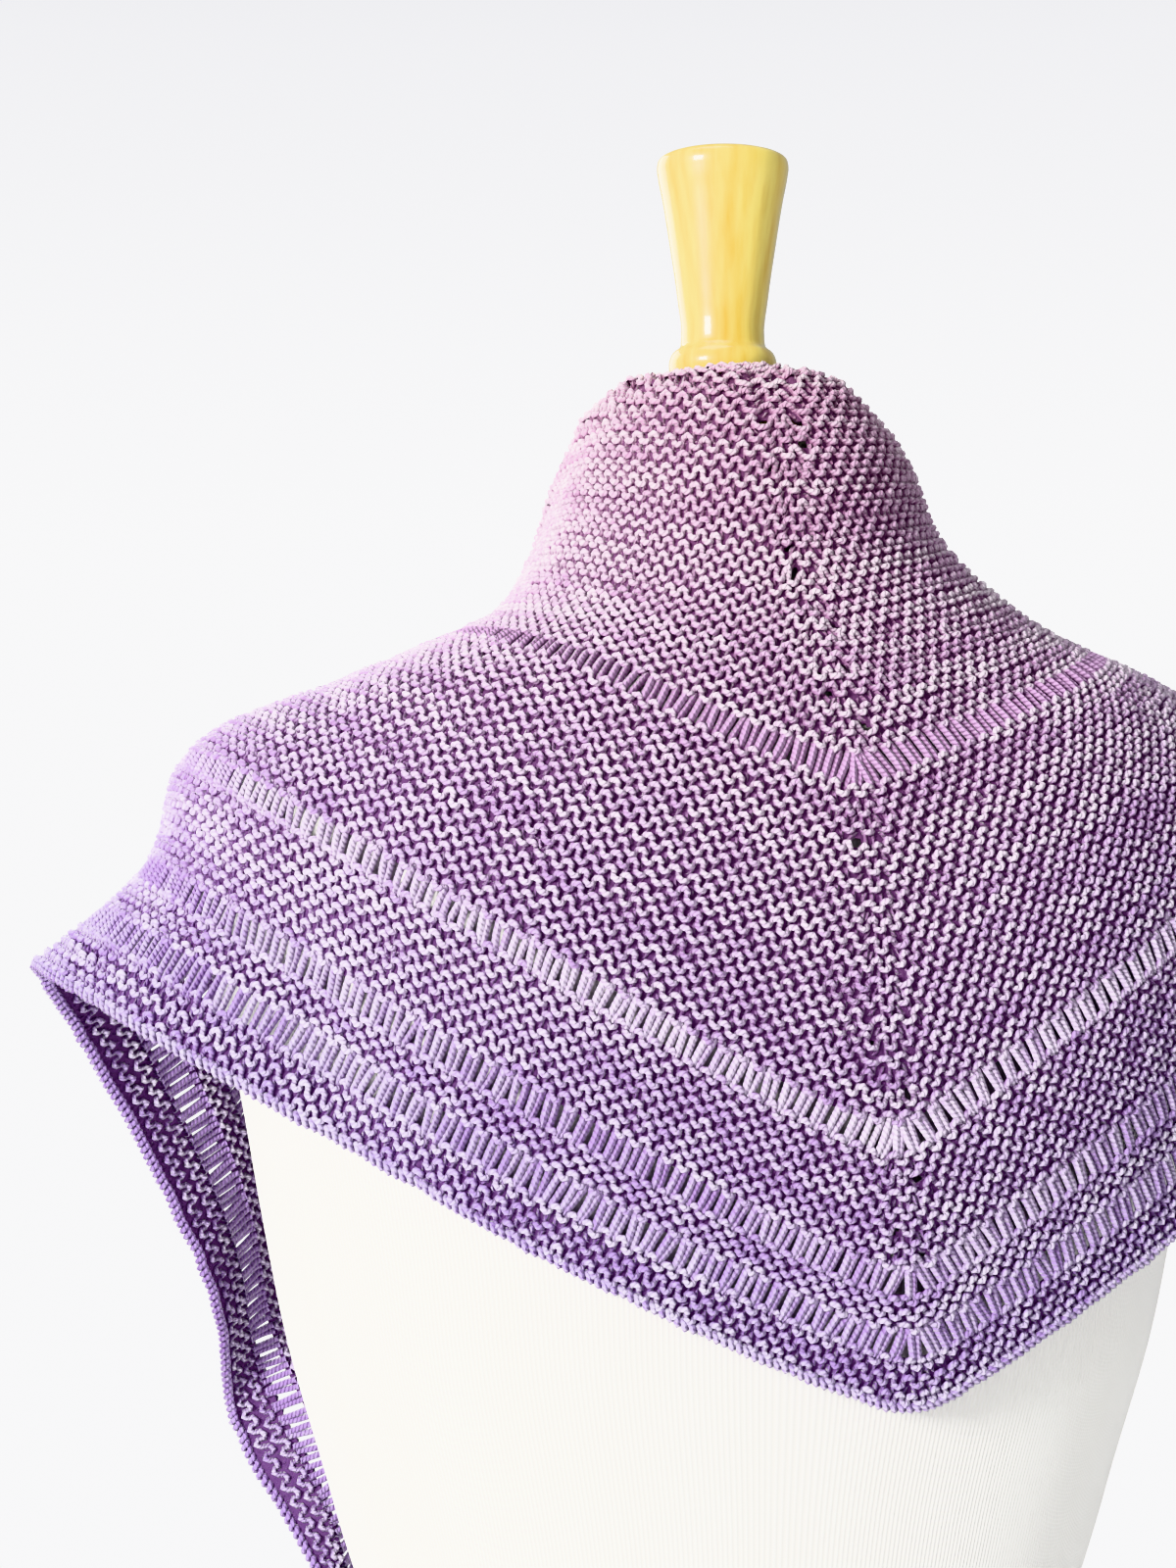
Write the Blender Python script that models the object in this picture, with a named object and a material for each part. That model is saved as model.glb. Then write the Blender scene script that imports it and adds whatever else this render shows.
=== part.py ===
"""Hand-knit triangular shawlette, draped over a limbless dress form with a turned neck cap."""

import math

import bmesh
import bpy
import numpy as np

# Flat cut of the shawlette: two half triangles that meet at a centre spine
SPINE_LENGTH = 0.385
HEM_ANGLE = math.radians(60.0)
HALF_SPAN = SPINE_LENGTH * math.tan(HEM_ANGLE)
HEM_LENGTH = SPINE_LENGTH / math.cos(HEM_ANGLE)
ROW_DEPTH = SPINE_LENGTH * math.sin(HEM_ANGLE)

# Knitted wall
WALL = 0.003
BAND_FROM_HEM = (0.190, 0.086, 0.0415, 0.021)
BAND_WIDTH = 0.0115
BAND_RECESS = 0.0009
BAND_SLOPE = 0.0012
RIM_WIDTH = 0.0045
RIM_RAISE = 0.0006
FIRST_ROW = 0.010
ROW_STEP = 0.020
NECK_ROWS = 0.115
NECK_ROW_STEP = 0.0105
STITCH_STEP = 0.0145

# Centre spine
SPINE_WIDTH = 0.0064
SPINE_RAISE = 0.0007
SEAM_GAP = 0.0003

# Clearance of the wall's middle from the form, with room for the flat facets. A point that lies too
# near moves out in a few steps, each of them short
REST_GAP = 0.0034
REST_STEPS = 8
REST_STEP_LIMIT = 0.01
SLOPE_STEP = 0.0005
SMALLEST = 1e-12

# Level from which the tables measure heights, above the underside of the base
LEVEL = 0.72


# Colours and roughness
WOOL = (0.42, 0.19, 0.30)
SPINE_WOOL = (0.45, 0.21, 0.32)
WOOL_ROUGHNESS = 0.75
JERSEY = (0.83, 0.80, 0.72)
JERSEY_ROUGHNESS = 0.85
CAP_WOOD = (0.72, 0.45, 0.16)
CAP_ROUGHNESS = 0.25
STAND_WOOD = (0.66, 0.42, 0.18)
STAND_ROUGHNESS = 0.35


def table(columns, *rows):
    """Gives each named column of a short table as an array."""
    return {name: np.array([row[place] for row in rows]) for place, name in enumerate(columns.split())}


# Dress form, a section at each height: its half width, its depths behind and in front, and how square
FORM = table(
    "height half_width back front square",
    (0.138, 0.050, 0.050, 0.050, 2.0),
    (0.110, 0.052, 0.054, 0.050, 2.0),
    (0.090, 0.059, 0.061, 0.052, 2.0),
    (0.075, 0.076, 0.068, 0.056, 2.1),
    (0.060, 0.108, 0.077, 0.062, 2.2),
    (0.045, 0.142, 0.086, 0.071, 2.3),
    (0.028, 0.167, 0.093, 0.080, 2.3),
    (0.008, 0.182, 0.099, 0.090, 2.4),
    (-0.020, 0.187, 0.104, 0.100, 2.4),
    (-0.060, 0.181, 0.106, 0.110, 2.4),
    (-0.100, 0.173, 0.105, 0.118, 2.4),
    (-0.140, 0.166, 0.102, 0.119, 2.3),
    (-0.180, 0.158, 0.097, 0.112, 2.3),
    (-0.240, 0.141, 0.087, 0.098, 2.2),
    (-0.320, 0.121, 0.079, 0.088, 2.2),
    (-0.380, 0.131, 0.086, 0.092, 2.2),
    (-0.460, 0.158, 0.108, 0.104, 2.2),
    (-0.520, 0.169, 0.120, 0.112, 2.2),
    (-0.560, 0.170, 0.120, 0.112, 2.2),
)
FORM_SIDES = 44
FORM_RING_STEP = 0.026
SHOULDER_TOP = 0.112
SHOULDER_FOOT = 0.0
SHOULDER_RING_STEP = 0.0065

# Neck cap, a turned profile from the flange's rim to the top. Its first rows are the domed flange
CAP = table(
    "radius height",
    (0.0500, 0.1384),
    (0.0490, 0.1425),
    (0.0440, 0.1478),
    (0.0350, 0.1531),
    (0.0250, 0.1570),
    (0.0180, 0.1590),
    (0.0156, 0.1614),
    (0.0184, 0.1640),
    (0.0197, 0.1682),
    (0.0184, 0.1724),
    (0.0156, 0.1750),
    (0.0152, 0.1775),
    (0.0165, 0.1925),
    (0.0191, 0.2105),
    (0.0220, 0.2285),
    (0.0236, 0.2368),
    (0.0240, 0.2405),
    (0.0234, 0.2430),
    (0.0212, 0.2445),
    (0.0120, 0.2452),
)
CAP_SIDES = 24
FLANGE_ROWS = 7

# Angles, in degrees, past which an edge is shaded sharp
CLOTH_SHARP = 50.0
FORM_SHARP = 60.0
TURNED_SHARP = 35.0

# Stand
BASE_RADIUS = 0.155
BASE_HEIGHT = 0.022
BASE_ROUND = 0.006
BASE_ROUND_STEPS = 4
BASE_EASE = 0.002
POLE_RADIUS = 0.014
STAND_SIDES = 40
TOUCH_GAP = 0.0003

# The spine's course down the back. Share is the part of its length from the nape
SPINE = table(
    "share x y height",
    (0.00, -0.003, 0.027, 0.1640),
    (0.05, -0.004, 0.043, 0.1560),
    (0.12, -0.006, 0.0585, 0.1350),
    (0.25, -0.011, 0.068, 0.0850),
    (0.50, -0.022, 0.103, -0.0110),
    (0.75, -0.030, 0.112, -0.1080),
    (1.00, -0.040, 0.102, -0.1970),
)

# Rows over the two shoulders. Over is where the row crosses the shoulder line, edge is its end in
# front, at the top edge. Sweep squares the row's back, hang squares its front, sag keeps its back low
LEFT = table(
    "share over_x over_y over_height edge_x edge_y edge_height sweep hang sag",
    (0.00, -0.003, 0.027, 0.164, -0.003, 0.027, 0.164, 2.0, 2.0, 1.15),
    (0.05, 0.022, 0.030, 0.160, 0.030, 0.018, 0.159, 2.0, 2.0, 1.15),
    (0.12, 0.048, 0.016, 0.142, 0.051, -0.008, 0.140, 2.1, 2.0, 1.15),
    (0.25, 0.062, 0.003, 0.107, 0.063, -0.052, 0.086, 2.1, 2.0, 1.15),
    (0.34, 0.076, 0.000, 0.082, 0.074, -0.076, 0.030, 2.2, 2.1, 1.15),
    (0.50, 0.118, 0.000, 0.058, 0.090, -0.105, -0.066, 2.3, 2.2, 1.15),
    (0.75, 0.195, -0.002, 0.022, 0.104, -0.122, -0.212, 2.3, 2.0, 1.15),
    (0.87, 0.206, -0.006, -0.013, 0.110, -0.121, -0.294, 2.2, 1.9, 1.15),
    (1.00, 0.246, -0.012, -0.048, 0.115, -0.118, -0.378, 2.1, 1.7, 1.15),
)
RIGHT = table(
    "share over_x over_y over_height edge_x edge_y edge_height sweep hang sag",
    (0.00, -0.003, 0.027, 0.164, -0.003, 0.027, 0.164, 2.0, 2.0, 1.00),
    (0.05, -0.030, 0.028, 0.160, -0.038, 0.014, 0.159, 2.0, 2.0, 1.00),
    (0.12, -0.057, 0.012, 0.139, -0.059, -0.012, 0.137, 2.1, 2.0, 1.00),
    (0.25, -0.079, 0.002, 0.101, -0.071, -0.055, 0.080, 2.1, 2.0, 1.00),
    (0.34, -0.108, 0.000, 0.077, -0.081, -0.080, 0.028, 2.2, 2.1, 1.00),
    (0.50, -0.156, 0.000, 0.054, -0.094, -0.105, -0.066, 2.3, 2.2, 1.00),
    (0.75, -0.213, -0.004, 0.013, -0.108, -0.124, -0.218, 2.3, 2.0, 1.00),
    (1.00, -0.250, -0.014, -0.074, -0.118, -0.124, -0.388, 2.1, 1.8, 1.00),
)

# Soft folds across the rows. Along is the part of the row where the fold runs, from the spine.
# Depth is outward at the hem and dies out at the share where the fold starts
LEFT_FOLDS = table(
    "along start width depth",
    (0.30, 0.55, 0.060, -0.004),
    (0.39, 0.50, 0.050, 0.005),
    (0.80, 0.78, 0.085, 0.027),
    (0.90, 0.60, 0.060, -0.006),
)
RIGHT_FOLDS = table(
    "along start width depth",
    (0.23, 0.60, 0.060, -0.004),
    (0.50, 0.45, 0.070, 0.012),
    (0.64, 0.45, 0.068, -0.015),
    (0.78, 0.45, 0.070, 0.017),
    (0.91, 0.50, 0.060, -0.010),
)

# How a fold grows from its start to the hem
FOLD_GROWTH = 1.3

# How much sooner the front of a row comes in towards its edge than it drops
TUCK = 1.6

# Points of each row's curve, and the grid that each half is read from
CURVE_POINTS = 60
GRID_ROWS = 97
GRID_STATIONS = 129
GRID_PASSES = 4


def smooth(rows, key, column, at):
    """Reads a column of a table at any key, on a cubic curve through the table's rows."""
    keys = rows[key]
    values = rows[column]
    if keys[0] > keys[-1]:
        keys = keys[::-1]
        values = values[::-1]
    slopes = np.gradient(values, keys)
    at = np.clip(at, keys[0], keys[-1])
    place = np.clip(np.searchsorted(keys, at, side="right") - 1, 0, len(keys) - 2)
    width = keys[place + 1] - keys[place]
    part = (at - keys[place]) / width
    start = values[place] * (2 * part**3 - 3 * part**2 + 1)
    end = values[place + 1] * (3 * part**2 - 2 * part**3)
    leave = slopes[place] * width * (part**3 - 2 * part**2 + part)
    arrive = slopes[place + 1] * width * (part**3 - part**2)
    return start + end + leave + arrive


# The solid that the cloth rests on: the form, and the cap's flange above it
BODY = {name: FORM[name] for name in FORM}
for flange_row in range(1, FLANGE_ROWS):
    radius = CAP["radius"][flange_row]
    section = {"height": CAP["height"][flange_row], "half_width": radius, "back": radius, "front": radius,
               "square": 2.0}
    for name in BODY:
        BODY[name] = np.insert(BODY[name], 0, section[name])


def body_level(points):
    """Below zero inside the form, zero on its surface and above zero outside."""
    height = points[..., 2]
    half_width = smooth(BODY, "height", "half_width", height)
    back = smooth(BODY, "height", "back", height)
    front = smooth(BODY, "height", "front", height)
    square = smooth(BODY, "height", "square", height)
    depth = np.where(points[..., 1] > 0, back, front)
    across = (np.abs(points[..., 0]) / half_width) ** square
    along = (np.abs(points[..., 1]) / depth) ** square
    return (across + along) ** (1 / square) - 1


def body_slope(points):
    """Gradient of the level, by small steps."""
    slope = np.zeros_like(points)
    for axis in range(3):
        move = np.zeros(3)
        move[axis] = SLOPE_STEP
        slope[..., axis] = (body_level(points + move) - body_level(points - move)) / (2 * SLOPE_STEP)
    return slope


def keep_clear(points, gap):
    """Moves points that lie too near the form straight out of it."""
    for _ in range(REST_STEPS):
        slope = body_slope(points)
        steepness = np.maximum(np.linalg.norm(slope, axis=-1), 1.0)
        distance = body_level(points) / steepness
        short = np.clip(gap - distance, 0.0, REST_STEP_LIMIT)
        points = points + slope / steepness[..., None] * short[..., None]
    return points


def row_line(side, share):
    """One knitted row from the spine, round the back, over the shoulder and down the front."""
    spine = np.array([smooth(SPINE, "share", name, share) for name in ("x", "y", "height")])
    over = np.array([smooth(side, "share", "over_" + name, share) for name in ("x", "y", "height")])
    edge = np.array([smooth(side, "share", "edge_" + name, share) for name in ("x", "y", "height")])
    sweep = 2 / smooth(side, "share", "sweep", share)
    hang = 2 / smooth(side, "share", "hang", share)
    sag = smooth(side, "share", "sag", share)
    turn = np.linspace(0.0, math.pi / 2, CURVE_POINTS)
    sine = np.sin(turn)
    cosine = np.cos(turn)
    reach = sine**sweep
    drop = 1 - cosine**hang
    behind = np.stack([
        spine[0] + (over[0] - spine[0]) * reach,
        over[1] + (spine[1] - over[1]) * cosine**sweep,
        spine[2] + (over[2] - spine[2]) * reach**sag,
    ], axis=-1)
    ahead = np.stack([
        over[0] + (edge[0] - over[0]) * (TUCK * drop - (TUCK - 1) * drop**2),
        over[1] + (edge[1] - over[1]) * sine**hang,
        over[2] + (edge[2] - over[2]) * drop,
    ], axis=-1)
    return np.concatenate([behind, ahead[1:]])


def even_out(line, count):
    """Resamples a line at even steps of its length."""
    steps = np.linalg.norm(np.diff(line, axis=0), axis=1)
    length = np.concatenate([[0.0], np.cumsum(steps)])
    at = np.linspace(0.0, length[-1], count)
    return np.stack([np.interp(at, length, line[:, axis]) for axis in range(3)], axis=-1)


def soften(grid, passes):
    """Evens a grid of points towards the middle of their neighbours, with its borders kept."""
    for _ in range(passes):
        middle = (grid[:-2, 1:-1] + grid[2:, 1:-1] + grid[1:-1, :-2] + grid[1:-1, 2:]) / 4
        grid[1:-1, 1:-1] = (grid[1:-1, 1:-1] + middle) / 2
    return grid


def normals(grid):
    """Unit normals of a grid, by its two directions."""
    down = np.gradient(grid, axis=0)
    along = np.gradient(grid, axis=1)
    across = np.cross(along, down)
    return across / np.maximum(np.linalg.norm(across, axis=-1, keepdims=True), SMALLEST)


def outward(grid, mirrored):
    """Normals that face away from the form on either half."""
    facing = normals(grid)
    return -facing if mirrored else facing


def drape(side, folds, mirrored):
    """The middle of one half of the cloth, a grid of rows from the nape and stations from the spine."""
    shares = np.linspace(0.0, 1.0, GRID_ROWS)
    grid = np.stack([even_out(row_line(side, share), GRID_STATIONS) for share in shares])
    grid = keep_clear(grid, REST_GAP)
    facing = outward(grid, mirrored)
    stations = np.linspace(0.0, 1.0, GRID_STATIONS)
    length = shares[:, None] * HEM_LENGTH
    for along, start, width, depth in zip(*folds.values()):
        growth = np.clip((shares - start) / (1 - start), 0.0, 1.0) ** FOLD_GROWTH
        distance = (stations[None, :] - along) * length
        shape = np.exp(-((distance / (width / 2)) ** 2))
        grid = grid + facing * (depth * growth[:, None] * shape)[..., None]
    grid = soften(grid, GRID_PASSES)
    return keep_clear(grid, REST_GAP)


def read_grid(grid, share, station):
    """A point between the grid's points."""
    row = np.clip(np.asarray(share) * (GRID_ROWS - 1), 0, GRID_ROWS - 1.001)
    column = np.clip(np.asarray(station) * (GRID_STATIONS - 1), 0, GRID_STATIONS - 1.001)
    row_low = row.astype(int)
    column_low = column.astype(int)
    down = (row - row_low)[..., None]
    along = (column - column_low)[..., None]
    upper = grid[row_low, column_low] * (1 - along) + grid[row_low, column_low + 1] * along
    lower = grid[row_low + 1, column_low] * (1 - along) + grid[row_low + 1, column_low + 1] * along
    return upper * (1 - down) + lower * down


def row_shares():
    """Rows of mesh points: even steps from the nape, with the slopes of each band between."""
    marks = [FIRST_ROW, NECK_ROWS]
    for band in BAND_FROM_HEM:
        centre = ROW_DEPTH - band
        inner = BAND_WIDTH / 2 - BAND_SLOPE
        outer = BAND_WIDTH / 2
        marks += [centre - outer, centre - inner, centre + inner, centre + outer]
    marks += [ROW_DEPTH - RIM_WIDTH, ROW_DEPTH - RIM_WIDTH + BAND_SLOPE, ROW_DEPTH]
    depths = [FIRST_ROW]
    for mark in marks[1:]:
        step_size = NECK_ROW_STEP if mark <= NECK_ROWS else ROW_STEP
        count = max(1, math.ceil((mark - depths[-1]) / step_size))
        start = depths[-1]
        depths += [start + (mark - start) * step / count for step in range(1, count + 1)]
    return np.array(depths) / ROW_DEPTH


def wall_raise(share):
    """How far the wall's outer face stands from the plain one at a row: bands in, rim out."""
    depth = share * ROW_DEPTH
    raised = 0.0
    for band in BAND_FROM_HEM:
        inside = BAND_WIDTH / 2 - abs(depth - (ROW_DEPTH - band))
        raised -= BAND_RECESS * min(max(inside / BAND_SLOPE, 0.0), 1.0)
    inside = RIM_WIDTH - (ROW_DEPTH - depth)
    raised += RIM_RAISE * min(max(inside / BAND_SLOPE, 0.0), 1.0)
    return raised


def zip_rows(first, second, flip):
    """Triangles between two rows with unlike numbers of points."""
    faces = []
    one = 0
    two = 0
    while one < len(first) - 1 or two < len(second) - 1:
        step_one = (one + 1) / (len(first) - 1) if one < len(first) - 1 else math.inf
        step_two = (two + 1) / (len(second) - 1) if two < len(second) - 1 else math.inf
        if step_one <= step_two:
            face = (first[one], first[one + 1], second[two])
            one += 1
        else:
            face = (first[one], second[two + 1], second[two])
            two += 1
        faces.append(face[::-1] if flip else face)
    return faces


def close_wall(rows_out, rows_in, points, name, material):
    """A closed wall from the rows of its outer and inner faces."""
    faces = []
    for upper, lower in zip(rows_out[:-1], rows_out[1:]):
        faces += zip_rows(upper, lower, False)
    for upper, lower in zip(rows_in[:-1], rows_in[1:]):
        faces += zip_rows(upper, lower, True)
    rims = (
        (rows_out[0], rows_in[0]),
        (rows_out[-1], rows_in[-1]),
        ([row[0] for row in rows_out], [row[0] for row in rows_in]),
        ([row[-1] for row in rows_out], [row[-1] for row in rows_in]),
    )
    for outer, inner in rims:
        for step in range(len(outer) - 1):
            faces.append((outer[step], outer[step + 1], inner[step]))
            faces.append((outer[step + 1], inner[step + 1], inner[step]))
    mesh = bpy.data.meshes.new(name)
    mesh.from_pydata([tuple(point) for point in points], [], faces)
    shape = bmesh.new()
    shape.from_mesh(mesh)
    bmesh.ops.recalc_face_normals(shape, faces=shape.faces)
    if shape.calc_volume(signed=True) < 0:
        bmesh.ops.reverse_faces(shape, faces=shape.faces)
    shape.to_mesh(mesh)
    shape.free()
    return add_object(name, mesh, material, CLOTH_SHARP)


def add_object(name, mesh, material, sharp):
    """Puts a mesh in the scene, shaded smooth up to an angle."""
    mesh.shade_smooth()
    mesh.set_sharp_from_angle(angle=math.radians(sharp))
    mesh.materials.append(material)
    thing = bpy.data.objects.new(name, mesh)
    bpy.context.scene.collection.objects.link(thing)
    return thing


def to_world(points):
    """Heights in the tables are measured from LEVEL."""
    return points + np.array([0.0, 0.0, LEVEL])


def half_panel(name, grid, mirrored, material):
    """One half of the shawlette, from beside the spine to the top edge."""
    facing = outward(grid, mirrored)
    start = (SPINE_WIDTH / 2 + SEAM_GAP) / math.sin(HEM_ANGLE)
    points = []
    rows = {1: [], -1: []}
    for share in row_shares():
        length = share * HEM_LENGTH
        count = max(2, round((length - start) / STITCH_STEP) + 1)
        stations = start / length + (1 - start / length) * np.linspace(0.0, 1.0, count)
        middle = read_grid(grid, np.full(count, share), stations)
        normal = read_grid(facing, np.full(count, share), stations)
        for face, offset in ((1, WALL / 2 + wall_raise(share)), (-1, -WALL / 2)):
            first = len(points)
            points += list(to_world(middle + normal * offset))
            rows[face].append(list(range(first, first + count)))
    return close_wall(rows[1], rows[-1], points, name, material)


def spine_column(name, left, right, material):
    """The narrow raised column down the centre back."""
    facing_left = outward(left, False)
    facing_right = outward(right, True)
    reach = SPINE_WIDTH / 2 / math.sin(HEM_ANGLE)
    points = []
    rows = {1: [], -1: []}
    for share in row_shares():
        away = np.array([reach / (share * HEM_LENGTH)])
        here = np.array([share])
        sides = (
            (read_grid(left, here, away)[0], read_grid(facing_left, here, away)[0]),
            (read_grid(right, here, away)[0], read_grid(facing_right, here, away)[0]),
        )
        normal = sides[0][1] + sides[1][1]
        normal /= np.linalg.norm(normal)
        centre = read_grid(left, here, np.array([0.0]))[0]
        across = (
            (sides[0][0], sides[0][1], 0.0),
            (centre, normal, SPINE_RAISE),
            (sides[1][0], sides[1][1], 0.0),
        )
        for face in (1, -1):
            first = len(points)
            for place, direction, lift in across:
                offset = WALL / 2 + lift if face == 1 else -WALL / 2
                points.append(to_world(place + direction * offset))
            rows[face].append([first, first + 1, first + 2])
    return close_wall(rows[1], rows[-1], points, name, material)


def stack_rings(name, rings, material, sharp):
    """A closed solid from rings of points, with flat ends."""
    shape = bmesh.new()
    loops = [[shape.verts.new(point) for point in ring] for ring in rings]
    count = len(loops[0])
    for lower, upper in zip(loops[:-1], loops[1:]):
        for place in range(count):
            after = (place + 1) % count
            shape.faces.new((lower[place], lower[after], upper[after], upper[place]))
    shape.faces.new(loops[0][::-1])
    shape.faces.new(loops[-1])
    bmesh.ops.recalc_face_normals(shape, faces=shape.faces)
    mesh = bpy.data.meshes.new(name)
    shape.to_mesh(mesh)
    shape.free()
    return add_object(name, mesh, material, sharp)


def dress_form(material):
    """The padded torso, a ring at each height."""
    heights = [FORM["height"][-1]]
    top = FORM["height"][0]
    while heights[-1] < top:
        near_shoulder = SHOULDER_FOOT <= heights[-1] < SHOULDER_TOP
        step = SHOULDER_RING_STEP if near_shoulder else FORM_RING_STEP
        heights.append(min(heights[-1] + step, top))
    angles = np.arange(FORM_SIDES) * 2 * math.pi / FORM_SIDES
    rings = []
    for height in heights:
        square = smooth(FORM, "height", "square", height)
        half_width = smooth(FORM, "height", "half_width", height)
        back = smooth(FORM, "height", "back", height)
        front = smooth(FORM, "height", "front", height)
        depth = np.where(np.sin(angles) > 0, back, front)
        across = half_width * np.sign(np.cos(angles)) * np.abs(np.cos(angles)) ** (2 / square)
        along = depth * np.sign(np.sin(angles)) * np.abs(np.sin(angles)) ** (2 / square)
        rings.append([(x, y, height + LEVEL) for x, y in zip(across, along)])
    return stack_rings("dress_form", rings, material, FORM_SHARP)


def turned(name, radii, heights, sides, material):
    """A round piece from its profile, foot first."""
    angles = [step * 2 * math.pi / sides for step in range(sides)]
    rings = []
    for radius, height in zip(radii, heights):
        rings.append([(radius * math.cos(angle), radius * math.sin(angle), height) for angle in angles])
    return stack_rings(name, rings, material, TURNED_SHARP)


def stand():
    """A round base with an eased top edge, and the pole between it and the form."""
    radii = [BASE_RADIUS - BASE_EASE, BASE_RADIUS]
    heights = [0.0, BASE_EASE]
    for step in range(BASE_ROUND_STEPS + 1):
        angle = step * math.pi / 2 / BASE_ROUND_STEPS
        radii.append(BASE_RADIUS - BASE_ROUND * (1 - math.cos(angle)))
        heights.append(BASE_HEIGHT - BASE_ROUND * (1 - math.sin(angle)))
    base_wood = make_material("base_wood", STAND_WOOD, STAND_ROUGHNESS)
    turned("stand_base", radii, heights, STAND_SIDES, base_wood)
    foot = BASE_HEIGHT + TOUCH_GAP
    head = LEVEL + FORM["height"][-1] - TOUCH_GAP
    pole_wood = make_material("pole_wood", STAND_WOOD, STAND_ROUGHNESS)
    turned("stand_pole", [POLE_RADIUS, POLE_RADIUS], [foot, head], CAP_SIDES, pole_wood)


def make_material(name, colour, roughness):
    """A plain finish with the piece's own colour."""
    material = bpy.data.materials.new(name)
    material.use_nodes = True
    shader = material.node_tree.nodes["Principled BSDF"]
    shader.inputs["Base Color"].default_value = (*colour, 1.0)
    shader.inputs["Roughness"].default_value = roughness
    shader.inputs["Metallic"].default_value = 0.0
    return material


def main():
    for thing in list(bpy.data.objects):
        bpy.data.objects.remove(thing)
    left = drape(LEFT, LEFT_FOLDS, False)
    right = drape(RIGHT, RIGHT_FOLDS, True)
    half_panel("shawl_left", left, False, make_material("left_wool", WOOL, WOOL_ROUGHNESS))
    half_panel("shawl_right", right, True, make_material("right_wool", WOOL, WOOL_ROUGHNESS))
    spine_column("shawl_spine", left, right, make_material("spine_wool", SPINE_WOOL, WOOL_ROUGHNESS))
    dress_form(make_material("jersey", JERSEY, JERSEY_ROUGHNESS))
    cap_wood = make_material("cap_wood", CAP_WOOD, CAP_ROUGHNESS)
    turned("neck_cap", CAP["radius"], CAP["height"] + LEVEL, CAP_SIDES, cap_wood)
    stand()


main()
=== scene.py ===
"""Looks of the hand-knit shawlette on its limbless dress form."""

import math

import bpy
import numpy as np
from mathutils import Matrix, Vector

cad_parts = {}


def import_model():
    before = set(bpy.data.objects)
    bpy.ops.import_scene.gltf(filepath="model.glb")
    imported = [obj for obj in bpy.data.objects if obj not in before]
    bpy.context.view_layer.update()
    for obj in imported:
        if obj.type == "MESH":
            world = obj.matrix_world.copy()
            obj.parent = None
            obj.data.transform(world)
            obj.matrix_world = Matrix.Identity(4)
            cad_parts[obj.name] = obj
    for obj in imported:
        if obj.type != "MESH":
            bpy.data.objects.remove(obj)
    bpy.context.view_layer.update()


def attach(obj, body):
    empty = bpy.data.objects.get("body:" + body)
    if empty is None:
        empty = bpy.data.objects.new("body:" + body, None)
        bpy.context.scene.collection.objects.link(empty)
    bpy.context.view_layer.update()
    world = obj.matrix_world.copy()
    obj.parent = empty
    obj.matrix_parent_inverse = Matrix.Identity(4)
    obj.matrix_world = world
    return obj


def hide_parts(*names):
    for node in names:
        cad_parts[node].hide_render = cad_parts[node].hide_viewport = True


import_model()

# Flat cut of the shawlette: two half triangles that meet at a centre spine
SPINE_LENGTH = 0.385
HEM_ANGLE = math.radians(60.0)
HALF_SPAN = SPINE_LENGTH * math.tan(HEM_ANGLE)
HEM_LENGTH = SPINE_LENGTH / math.cos(HEM_ANGLE)
ROW_DEPTH = SPINE_LENGTH * math.sin(HEM_ANGLE)

# Clearance of the cloth's middle from the form
REST_GAP = 0.0034
REST_STEPS = 8
REST_STEP_LIMIT = 0.01
SLOPE_STEP = 0.0005
SMALLEST = 1e-12

# Level from which the tables measure heights, above the underside of the base
LEVEL = 0.72


def table(columns, *rows):
    """Gives each named column of a short table as an array."""
    return {name: np.array(values) for name, values in zip(columns.split(), zip(*rows))}


# Dress form, a section at each height
FORM = table(
    "height half_width back front square",
    (0.138, 0.050, 0.050, 0.050, 2.0),
    (0.110, 0.052, 0.054, 0.050, 2.0),
    (0.090, 0.059, 0.061, 0.052, 2.0),
    (0.075, 0.076, 0.068, 0.056, 2.1),
    (0.060, 0.108, 0.077, 0.062, 2.2),
    (0.045, 0.142, 0.086, 0.071, 2.3),
    (0.028, 0.167, 0.093, 0.080, 2.3),
    (0.008, 0.182, 0.099, 0.090, 2.4),
    (-0.020, 0.187, 0.104, 0.100, 2.4),
    (-0.060, 0.181, 0.106, 0.110, 2.4),
    (-0.100, 0.173, 0.105, 0.118, 2.4),
    (-0.140, 0.166, 0.102, 0.119, 2.3),
    (-0.180, 0.158, 0.097, 0.112, 2.3),
    (-0.240, 0.141, 0.087, 0.098, 2.2),
    (-0.320, 0.121, 0.079, 0.088, 2.2),
    (-0.380, 0.131, 0.086, 0.092, 2.2),
    (-0.460, 0.158, 0.108, 0.104, 2.2),
    (-0.520, 0.169, 0.120, 0.112, 2.2),
    (-0.560, 0.170, 0.120, 0.112, 2.2),
)

# Neck cap, a turned profile from the flange's rim to the top. Its first rows are the domed flange
CAP = table(
    "radius height",
    (0.0500, 0.1384),
    (0.0490, 0.1425),
    (0.0440, 0.1478),
    (0.0350, 0.1531),
    (0.0250, 0.1570),
    (0.0180, 0.1590),
    (0.0156, 0.1614),
    (0.0184, 0.1640),
    (0.0197, 0.1682),
    (0.0184, 0.1724),
    (0.0156, 0.1750),
    (0.0152, 0.1775),
    (0.0165, 0.1925),
    (0.0191, 0.2105),
    (0.0220, 0.2285),
    (0.0236, 0.2368),
    (0.0240, 0.2405),
    (0.0234, 0.2430),
    (0.0212, 0.2445),
    (0.0120, 0.2452),
)
FLANGE_ROWS = 7

# Stand
BASE_RADIUS = 0.155
BASE_HEIGHT = 0.022
BASE_ROUND = 0.006
BASE_EASE = 0.002
POLE_RADIUS = 0.014
TOUCH_GAP = 0.0003

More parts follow.
